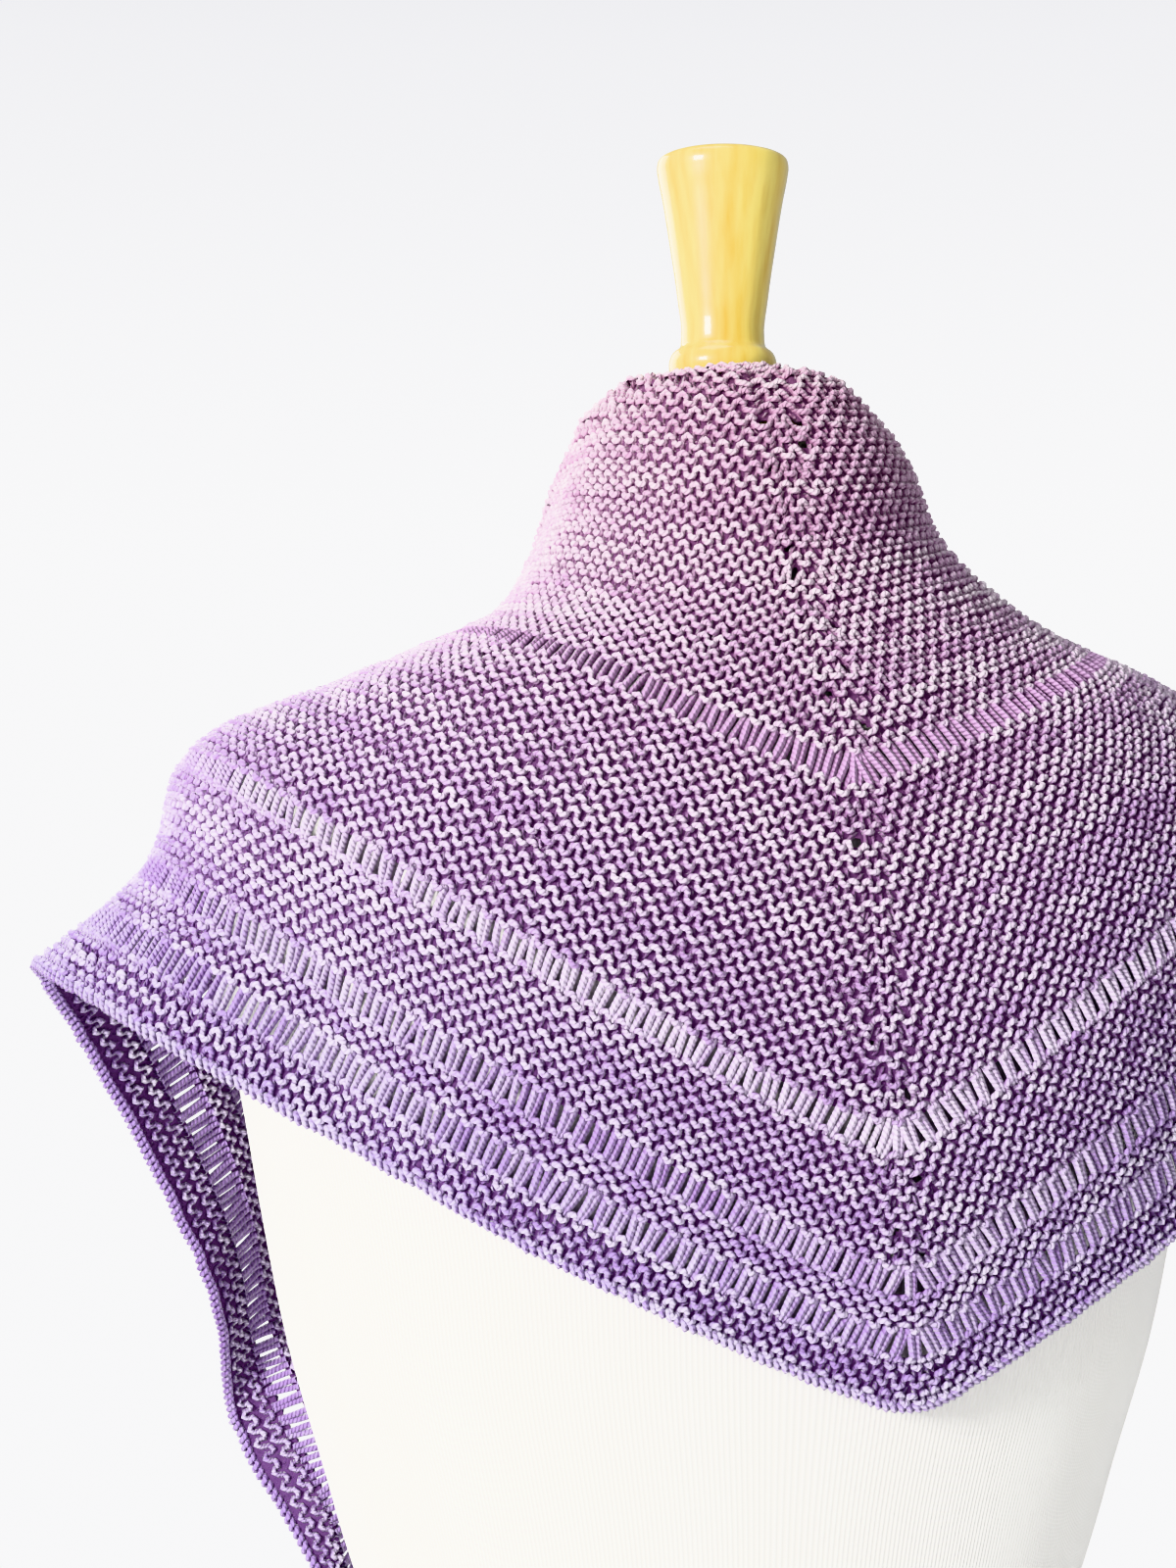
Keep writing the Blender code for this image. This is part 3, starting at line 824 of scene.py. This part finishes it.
def selvedge(yarn):
    """The edge stitches along the top edge, from tail to tail, where the rows turn."""
    across, wander, phases = chain(HALF_SPAN, round(HALF_SPAN / ROW), EDGE_POINTS, EDGE_UNEVEN)
    for strand, phase in enumerate(phases):
        down = EDGE_IN + EDGE_SWING * np.cos(phase) + wander
        lift = EDGE_LIFT * np.sin(phase)
        dye = dye_at(across * 2 + strand)
        yarn.add(across, down, lift, 1, YARN, FULL_ROUND, dye, 0.0, EDGE_LOWEST)


# Sections of plain garter stitch between the bands, from the nape, and the pieces of each
SECTIONS = (("knit_neck", 1), ("knit_back", 2), ("knit_border", 1), ("knit_low", 1), ("knit_hem", 1))


def all_rows():
    """Every row from the nape to the hem: its piece, its side, its depth and its height."""
    starts = [FIRST_DEPTH] + [band + BAND_WIDTH / 2 for band in BANDS]
    ends = [band - BAND_WIDTH / 2 for band in BANDS] + [ROW_DEPTH - BIND_OFF]
    rows = []
    for (section, pieces), start, end in zip(SECTIONS, starts, ends):
        depths, step = section_rows(start, end)
        for number, depth in enumerate(depths):
            piece = number * pieces // len(depths) + 1
            name = f"{section}_{piece}" if pieces > 1 else section
            rows.append((name, 1 if number % 2 == 0 else -1, depth, step))
    return rows


def knit(material):
    """The whole shawlette, from the nape to the bound-off edge."""
    rows = all_rows()
    yarns = {}
    for number, (name, front, depth, step) in enumerate(rows):
        if name not in yarns:
            yarns[name] = Yarn(name)
        next_depth = rows[number + 1][2] if number + 1 < len(rows) else None
        knit_row(yarns[name], number, front, depth, step, next_depth)
    long = Yarn("knit_long_stitches")
    for band, *look in zip(BANDS, *BAND_LOOKS.values()):
        long_stitches(long, band, *look)
    edge = Yarn("knit_bind_off")
    bind_off(edge)
    selvedge(edge)
    return [yarn.build(material) for yarn in [*yarns.values(), long, edge]]


# The ground behind the yarn: how far it reaches into a band, how far it stays inside the hem and the top
# edge, and its faces, which are finer near the eyelets
GROUND_IN_BAND = 0.0006
GROUND_FROM_HEM = 0.0008
GROUND_FROM_EDGE = 0.0004
GROUND_FINE_REACH = 0.0098
GROUND_COARSE = 0.0056
GROUND_FINE = 0.0014
GROUND_COLUMNS = 92
GROUND_FINE_COLUMNS = 15

# The narrowest eyelet that opens the ground, and how much wider than the eyelet its hole is
OPEN_FROM = 0.0007
HOLE_EASE = 0.0005


def cloth_shell(material):
    """The ground behind the yarn, a sheet painted dark with the shade between the loops: one layer, open at
    the bands and at the wide eyelets.
    """
    starts = [FIRST_DEPTH] + [band + BAND_WIDTH / 2 - GROUND_IN_BAND for band in BANDS]
    ends = [band - BAND_WIDTH / 2 + GROUND_IN_BAND for band in BANDS] + [ROW_DEPTH - GROUND_FROM_HEM]
    patches = []
    for start, end in zip(starts, ends):
        depths, limit, inner = ground_lines(start, end, GROUND_COARSE)
        share = np.linspace(0.0, 1.0, GROUND_COLUMNS)
        for side in (-1, 1):
            along = side * (inner[:, None] + (limit - inner)[:, None] * share)
            patches.append(shell_patch(depths, along))
        depths, limit, inner = ground_lines(start, end, GROUND_FINE)
        along = inner[:, None] * np.linspace(-1.0, 1.0, GROUND_FINE_COLUMNS)
        patches.append(shell_patch(depths, along))
    points, cells, tones = zip(*patches)
    counts = np.cumsum([0] + [len(part) for part in points])
    quads = [part + count for part, count in zip(cells, counts)]
    thing = add_mesh("cloth_shade_sheet", np.concatenate(points), np.concatenate(quads), material)
    put_attribute(thing, "tone", np.concatenate(tones))
    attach(thing, "root")
    return thing


def ground_lines(start, end, step):
    """The ground's depths, and along each where it ends and where its fine part ends."""
    count = max(2, math.ceil((end - start) / step) + 1)
    depths = np.linspace(start, end, count)
    limit = row_end(depths) - GROUND_FROM_EDGE
    return depths, limit, np.minimum(GROUND_FINE_REACH, limit * 0.9)


def shell_patch(depths, along):
    """A patch of the ground: its points, its faces without those at the eyelets, and its tone."""
    depth = np.broadcast_to(depths[:, None], along.shape)
    across, down = flat_point(depth, along, np.zeros_like(along))
    middle, _ = place(across, down)
    centre_across = (across[:-1, :-1] + across[1:, 1:]) / 2
    centre_down = (down[:-1, :-1] + down[1:, 1:]) / 2
    keep = np.ones(centre_across.shape, bool)
    for hole_across, hole_down, width in HOLES:
        if width > OPEN_FROM:
            away = np.hypot(centre_across - hole_across, centre_down - hole_down)
            keep &= away > width + HOLE_EASE
    none = np.zeros(depth.size)
    tone = beside(depth.ravel() / ROW_DEPTH, none, none)
    return middle.reshape(-1, 3), grid_quads(*along.shape)[keep], tone


# Form, cap and stand: sides and steps, and the rings that close their flat ends
FINE_SIDES = 144
FINE_STEP = 0.0075
TURNED_SIDES = 96
LID = (0.9, 0.5, 0.002)
CENTRE = 0.0002
CAP_STEPS = 4
CAP_LID = 0.6
ROUND_POINTS = 9
POLE_RINGS = 12
BASE_LIP = 0.0006
BASE_FLOOR_RING = 0.08
BASE_TOP_RINGS = (0.1, 0.05)


def ring_mesh(name, rings, material):
    """A piece from rings of points. It closes where its end rings are tiny."""
    rings = np.asarray(rings)
    count, sides, _ = rings.shape
    first = np.arange(count - 1)[:, None] * sides + np.arange(sides)
    after = np.arange(count - 1)[:, None] * sides + (np.arange(sides) + 1) % sides
    quads = beside(first, after, after + sides, first + sides).reshape(-1, 4)
    return add_mesh(name, rings.reshape(-1, 3), quads, material)


def oval(height, angles):
    """A ring round the form at a height over the level."""
    half_width, back, front, square = read(FORM, "height", height, "half_width back front square")
    cosine = np.cos(angles)
    sine = np.sin(angles)
    across = half_width * np.sign(cosine) * np.abs(cosine) ** (2 / square)
    along = np.where(sine > 0, back, front) * np.sign(sine) * np.abs(sine) ** (2 / square)
    return beside(across, along, np.full(len(angles), height + LEVEL))


def form_cover(material):
    """The padded torso in its jersey, with each point's angle and height for the ribs."""
    top = FORM["height"][0]
    foot = FORM["height"][-1]
    angles = np.arange(FINE_SIDES) * math.tau / FINE_SIDES
    rings = [oval(height, angles) for height in np.linspace(foot, top, round((top - foot) / FINE_STEP) + 1)]
    closed = [rings[0] * [share, share, 1.0] for share in reversed(LID)]
    lid = [rings[-1] * [share, share, 1.0] for share in LID]
    rings = closed + rings + lid
    thing = ring_mesh("form_cover", rings, material)
    count = len(rings)
    level = np.repeat([ring[0, 2] for ring in rings], FINE_SIDES)
    wale = [np.tile(np.cos(angles), count), np.tile(np.sin(angles), count), level]
    put_attribute(thing, "wale", beside(*wale))
    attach(thing, "root")
    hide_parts("dress_form")
    return thing


def circle(radius, height):
    """A level ring of points."""
    angles = np.arange(TURNED_SIDES) * math.tau / TURNED_SIDES
    level = np.full(TURNED_SIDES, height)
    return beside(radius * np.cos(angles), radius * np.sin(angles), level)


def turned(name, radii, heights, material, node):
    """A turned piece with its flat ends closed to the centre, in place of its solid."""
    radii = np.concatenate([[CENTRE], radii, [CENTRE]])
    heights = np.concatenate([heights[:1], heights, heights[-1:]])
    thing = ring_mesh(name, [circle(*ring) for ring in zip(radii, heights)], material)
    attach(thing, "root")
    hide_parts(node)


def rounded_profile(radii, heights):
    """A smooth profile through the points of a short one."""
    length = lengths(beside(radii, heights))
    rows = {"length": length, "radius": radii, "height": heights}
    spans = [np.linspace(a, b, CAP_STEPS, endpoint=False) for a, b in zip(length[:-1], length[1:])]
    at = np.concatenate(spans + [length[-1:]])
    return read(rows, "length", at, "radius height")


def wood_pieces(cap_material, stand_material):
    """The cap, the base and the pole."""
    radii, heights = rounded_profile(CAP["radius"], CAP["height"] + LEVEL)
    radii = np.concatenate([radii[:1], radii, [radii[-1] * CAP_LID]])
    heights = np.concatenate([heights[:1], heights, heights[-1:]])
    turned("cap", radii, heights, cap_material, "neck_cap")
    angle = np.linspace(0.0, math.pi / 2, ROUND_POINTS)
    foot_radii = [BASE_FLOOR_RING, BASE_RADIUS - BASE_EASE, BASE_RADIUS - BASE_LIP, BASE_RADIUS]
    foot_heights = [0.0, 0.0, BASE_LIP, BASE_EASE]
    radii = np.concatenate([foot_radii, BASE_RADIUS - BASE_ROUND * (1 - np.cos(angle)), BASE_TOP_RINGS])
    top_heights = [BASE_HEIGHT] * len(BASE_TOP_RINGS)
    heights = np.concatenate([foot_heights, BASE_HEIGHT - BASE_ROUND * (1 - np.sin(angle)), top_heights])
    turned("base_disc", radii, heights, stand_material, "stand_base")
    foot = BASE_HEIGHT + TOUCH_GAP
    head = LEVEL + FORM["height"][-1] - TOUCH_GAP
    heights = np.linspace(foot, head, POLE_RINGS)
    turned("pole", np.full(POLE_RINGS, POLE_RADIUS), heights, stand_material, "stand_pole")


def set_stops(ramp, stops):
    """Gives a colour ramp its places and colours."""
    for element, (position, colour) in zip(ramp.elements, stops):
        element.position = position
        element.color = (*colour, 1.0)


class Nodes:
    """Short ways to make a material's nodes."""

    def __init__(self, name):
        self.material = bpy.data.materials.new(name)
        self.material.use_nodes = True
        self.tree = self.material.node_tree
        self.shader = self.tree.nodes["Principled BSDF"]

    def node(self, kind, **values):
        """A new node with its settings."""
        made = self.tree.nodes.new(kind)
        for name, value in values.items():
            setattr(made, name, value)
        return made

    def link(self, source, target):
        self.tree.links.new(source, target)

    def feed(self, socket, value):
        """Sets a socket to a number or a colour, or links it."""
        if isinstance(value, (int, float)):
            socket.default_value = value
        elif isinstance(value, tuple):
            socket.default_value = (*value, 1.0)
        else:
            self.link(value, socket)

    def math(self, operation, *values):
        made = self.node("ShaderNodeMath", operation=operation)
        for socket, value in zip(made.inputs, values):
            self.feed(socket, value)
        return made.outputs[0]

    def times(self, first, second):
        return self.math("MULTIPLY", first, second)

    def plus(self, first, second):
        return self.math("ADD", first, second)

    def limited(self, value):
        """A value held between 0 and 1."""
        return self.math("MINIMUM", self.math("MAXIMUM", value, 0.0), 1.0)

    def attribute(self, name):
        """The three numbers of a mesh's attribute."""
        made = self.node("ShaderNodeAttribute", attribute_name=name)
        parts = self.node("ShaderNodeSeparateXYZ")
        self.link(made.outputs["Vector"], parts.inputs[0])
        return parts.outputs

    def ramp(self, factor, stops):
        made = self.node("ShaderNodeValToRGB")
        if len(stops) > 2:
            made.color_ramp.elements.new(0.5)
        set_stops(made.color_ramp, stops)
        self.link(factor, made.inputs[0])
        return made.outputs[0]

    def mix(self, factor, first, second):
        made = self.node("ShaderNodeMix", data_type="RGBA")
        sockets = [socket for socket in made.inputs if socket.enabled]
        for socket, value in zip(sockets, (factor, first, second)):
            self.feed(socket, value)
        return [socket for socket in made.outputs if socket.enabled][0]

    def noise(self, scale, detail=2.0, vector=None):
        made = self.node("ShaderNodeTexNoise")
        made.inputs["Scale"].default_value = scale
        made.inputs["Detail"].default_value = detail
        if vector is not None:
            self.link(vector, made.inputs["Vector"])
        return made.outputs["Fac"]

    def bump(self, height, distance):
        made = self.node("ShaderNodeBump")
        made.inputs["Distance"].default_value = distance
        self.link(height, made.inputs["Height"])
        self.link(made.outputs[0], self.shader.inputs["Normal"])

    def finish(self, colour, roughness, **constants):
        self.link(colour, self.shader.inputs["Base Color"])
        self.shader.inputs["Roughness"].default_value = roughness
        for name, value in constants.items():
            self.shader.inputs[name.replace("_", " ")].default_value = value
        return self.material


# The colours from the neck to the hem: light dye with painted light on the yarn's crown, dark dye with
# painted shade at its sides, the painted deep shade between and behind the loops, and the painted shade of
# the sheet behind the yarn with its lighter specks
LIGHT_DYE_AND_CROWN_LIGHT = ((0.0, (0.94, 0.80, 0.87)), (0.5, (0.91, 0.80, 0.91)), (1.0, (0.84, 0.77, 0.95)))
DARK_DYE_AND_SIDE_SHADE = ((0.0, (0.60, 0.36, 0.50)), (1.0, (0.37, 0.24, 0.57)))
PAINTED_DEEP_SHADE = ((0.0, (0.22, 0.07, 0.15)), (1.0, (0.10, 0.03, 0.18)))
GROUND_PAINTED_SHADE = ((0.0, (0.11, 0.03, 0.08)), (1.0, (0.05, 0.015, 0.10)))
GROUND_SHADE_SPECK = (0.16, 0.07, 0.16)

# A ply's turn in centimetres, and how dark the painted shade in the groove between two plies is
PLY_TURN = 0.34
PLY_GROOVE_SHADE = 0.62

# The jersey's creams and the painted shade in the groove between ribs, how many ribs go round, and a
# course's height
CREAM_DIM = (0.77, 0.76, 0.73)
CREAM_BRIGHT = (0.82, 0.815, 0.795)
RIB_GROOVE_SHADE = (0.66, 0.61, 0.51)
RIBS = 560.0
COURSE = 0.0013


def wool():
    """Two-ply hand-dyed yarn with painted light and shade: lit on its crown, painted darker at its sides
    and in the grooves between its plies, and painted deep where it goes behind.
    """
    make = Nodes("wool")
    share, dye, height = make.attribute("tone")
    length, cosine, sine = make.attribute("ply")
    light = make.ramp(share, LIGHT_DYE_AND_CROWN_LIGHT)
    dark = make.ramp(share, DARK_DYE_AND_SIDE_SHADE)
    # Painted deep shade, for yarn that lies between and behind the loops
    deep = make.ramp(share, PAINTED_DEEP_SHADE)
    cloud = make.math("SUBTRACT", make.noise(11.0), 0.5)
    speck = make.math("SUBTRACT", make.noise(260.0), 0.5)
    # Painted light and shade round each yarn: its crown painted lighter and its sides painted darker
    painted_crown_light = make.limited(make.plus(make.times(cosine, 1.2), 0.15))
    tint = make.plus(make.times(dye, 0.95), make.times(cloud, 0.35))
    tint = make.plus(tint, make.times(speck, 1.6))
    tint = make.plus(tint, make.times(painted_crown_light, 0.62))
    # The dye, with the painted light on the crowns and the painted shade at the sides
    dyed = make.mix(make.limited(make.plus(tint, -0.54)), dark, light)
    # Painted shade: the lower the yarn lies, the nearer it is painted to the deep shade
    painted_height_light = make.limited(make.plus(make.times(height, 1.5), -0.20))
    shaded = make.mix(make.math("POWER", painted_height_light, 1.3), deep, dyed)
    angle = make.math("ARCTAN2", sine, cosine)
    turns = make.times(length, math.tau / PLY_TURN)
    groove = make.math("ABSOLUTE", make.math("SINE", make.plus(turns, angle)))
    # Painted shade in the grooves between the plies
    depth = make.times(make.math("SUBTRACT", 1.0, groove), PLY_GROOVE_SHADE)
    fuzz = make.noise(1900.0, 3.0)
    make.bump(make.plus(groove, make.times(fuzz, 0.5)), 0.0004)
    # The plies' grooves painted towards the deep shade
    colour = make.mix(depth, shaded, deep)
    return make.finish(colour, 0.42, Specular_IOR_Level=0.7, Sheen_Weight=0.5, Sheen_Roughness=0.4)


def ground():
    """The sheet behind the loops, painted dark with the shade that falls between them."""
    make = Nodes("wool_painted_shade")
    share, _, _ = make.attribute("tone")
    # Painted shade: the sheet is dark, as shade falls between the loops
    deep = make.ramp(share, GROUND_PAINTED_SHADE)
    speck = make.noise(700.0)
    make.bump(speck, 0.0004)
    return make.finish(make.mix(make.times(speck, 0.5), deep, GROUND_SHADE_SPECK), 0.9)


def jersey():
    """Cream stretch jersey with fine upright ribs, their grooves painted darker with shade."""
    make = Nodes("jersey")
    cosine, sine, level = make.attribute("wale")
    angle = make.math("ARCTAN2", sine, cosine)
    rib = make.math("SINE", make.times(angle, RIBS))
    course = make.math("SINE", make.times(level, math.tau / COURSE))
    half_rib = make.times(rib, 0.5)
    cream = make.mix(make.noise(9.0, 4.0), CREAM_DIM, CREAM_BRIGHT)
    # Painted shade in the grooves between the ribs
    groove = make.times(make.math("SUBTRACT", 0.5, half_rib), 0.16)
    make.bump(make.plus(half_rib, make.times(course, 0.04)), 0.00016)
    return make.finish(make.mix(groove, cream, RIB_GROOVE_SHADE), 0.85, Sheen_Weight=0.15, Sheen_Roughness=0.6)


def turned_wood(name, light, dark, roughness, coat):
    """Lacquered wood with its grain upright."""
    make = Nodes(name)
    coords = make.node("ShaderNodeTexCoord")
    stretch = make.node("ShaderNodeMapping")
    stretch.inputs["Scale"].default_value = (1.0, 1.0, 0.06)
    make.link(coords.outputs["Object"], stretch.inputs["Vector"])
    grain = make.noise(260.0, 6.0, stretch.outputs[0])
    broad = make.noise(38.0, 3.0, stretch.outputs[0])
    figure = make.plus(make.times(grain, 0.6), make.times(broad, 0.5))
    middle = tuple(a * 0.5 + b * 0.5 for a, b in zip(light, dark))
    colour = make.ramp(figure, [(0.36, dark), (0.5, middle), (0.66, light)])
    make.bump(grain, 0.00006)
    return make.finish(colour, roughness, Coat_Weight=coat, Coat_Roughness=0.06)


# The floor, the world's light, and the backdrop that the camera sees, brightest at the horizon
FLOOR_RADII = (0.01, 0.4, 0.9, 1.4)
FLOOR_DROP = 0.0005
FLOOR_DIM = (0.86, 0.86, 0.87)
FLOOR_BRIGHT = (0.90, 0.90, 0.905)
AMBIENT = 0.44
AMBIENT_COLOUR = (0.95, 0.97, 1.0, 1.0)
BACKDROP_STRENGTH = 1.6
BACKDROP = ((0.10, (0.99, 0.99, 1.0)), (0.28, (0.64, 0.64, 0.66)))

# Soft lights: name, place, size, power and colour. They face a point on the form's axis
LIGHTS = (
    ("key", (1.75, 1.10, 1.20), 0.6, 104.0, (1.0, 0.985, 0.96)),
    ("top", (0.4, 0.2, 2.4), 1.0, 14.0, (1.0, 1.0, 1.0)),
    ("low_fill", (-1.3, 1.0, 0.15), 1.0, 9.0, (1.0, 1.0, 1.0)),
    ("front", (0.9, -1.7, 1.3), 1.3, 34.0, (1.0, 0.99, 0.98)),
)
LIT_POINT = Vector((0.0, 0.0, LEVEL))


def floor():
    """A pale round floor."""
    make = Nodes("floor")
    material = make.finish(make.mix(make.noise(30.0), FLOOR_DIM, FLOOR_BRIGHT), 0.7)
    thing = ring_mesh("floor", [circle(radius, -FLOOR_DROP) for radius in FLOOR_RADII], material)


def world():
    """Even light from all round, with the backdrop for the camera alone."""
    made = bpy.data.worlds.new("studio")
    bpy.context.scene.world = made
    made.use_nodes = True
    nodes = made.node_tree.nodes
    link = made.node_tree.links.new
    background = nodes["Background"]
    path = nodes.new("ShaderNodeLightPath")
    seen = nodes.new("ShaderNodeBackground")
    mix = nodes.new("ShaderNodeMixShader")
    coords = nodes.new("ShaderNodeTexCoord")
    parts = nodes.new("ShaderNodeSeparateXYZ")
    fade = nodes.new("ShaderNodeValToRGB")
    background.inputs["Color"].default_value = AMBIENT_COLOUR
    background.inputs["Strength"].default_value = AMBIENT
    seen.inputs["Strength"].default_value = BACKDROP_STRENGTH
    set_stops(fade.color_ramp, BACKDROP)
    link(coords.outputs["Generated"], parts.inputs[0])
    link(parts.outputs["Z"], fade.inputs[0])
    link(fade.outputs[0], seen.inputs["Color"])
    link(path.outputs["Is Camera Ray"], mix.inputs["Fac"])
    link(background.outputs[0], mix.inputs[1])
    link(seen.outputs[0], mix.inputs[2])
    link(mix.outputs[0], nodes["World Output"].inputs["Surface"])


def lights():
    """Soft light, mostly from the photo's left."""
    for name, spot, size, power, colour in LIGHTS:
        light = bpy.data.lights.new(name, "AREA")
        light.size = size
        light.energy = power
        light.color = colour
        lamp = bpy.data.objects.new(name, light)
        lamp.location = spot
        aim = LIT_POINT - Vector(spot)
        lamp.rotation_euler = aim.to_track_quat("-Z", "Y").to_euler()
        bpy.context.scene.collection.objects.link(lamp)


# Camera of the photo: where it stands, and where the form's axis and the horizon fall in the picture
PICTURE = (1200, 1600)
FOCAL_PIXELS = 3000.0
CAMERA_DISTANCE = 1.07
CAMERA_BEARING = math.radians(15.0)
CAMERA_HEIGHT = 0.718
AXIS_PIXEL = 738.0
HORIZON_PIXEL = 850.0
SENSOR = 36.0
CLIP = (0.05, 50.0)


def camera():
    """The photo's camera, turned so that the axis and the horizon fall in place."""
    bearing = Vector((math.sin(CAMERA_BEARING), math.cos(CAMERA_BEARING), 0.0))
    forward = -bearing
    right = Vector((forward.y, -forward.x, 0.0))
    swing = math.atan((AXIS_PIXEL - PICTURE[0] / 2) / FOCAL_PIXELS)
    forward = forward * math.cos(swing) - right * math.sin(swing)
    rise = math.atan((HORIZON_PIXEL - PICTURE[1] / 2) / FOCAL_PIXELS)
    forward = forward * math.cos(rise) + Vector((0.0, 0.0, 1.0)) * math.sin(rise)
    data = bpy.data.cameras.new("camera")
    data.sensor_width = SENSOR
    data.lens = FOCAL_PIXELS / PICTURE[1] * SENSOR
    data.clip_start, data.clip_end = CLIP
    thing = bpy.data.objects.new("camera", data)
    thing.location = bearing * CAMERA_DISTANCE + Vector((0.0, 0.0, CAMERA_HEIGHT))
    thing.rotation_euler = forward.to_track_quat("-Z", "Y").to_euler()
    bpy.context.scene.collection.objects.link(thing)
    bpy.context.scene.camera = thing


def main():
    yarns = knit(wool())
    shell = cloth_shell(ground())
    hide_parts("shawl_left", "shawl_right", "shawl_spine")
    form = form_cover(jersey())
    wood_pieces(
        turned_wood("cap_wood", (0.85, 0.69, 0.17), (0.66, 0.42, 0.04), 0.30, 0.9),
        turned_wood("stand_wood", (0.62, 0.38, 0.14), (0.40, 0.20, 0.06), 0.38, 0.4),
    )
    floor()
    world()
    lights()
    camera()
    bpy.context.scene.view_settings.view_transform = "Khronos PBR Neutral"


main()
bpy.context.view_layer.update()
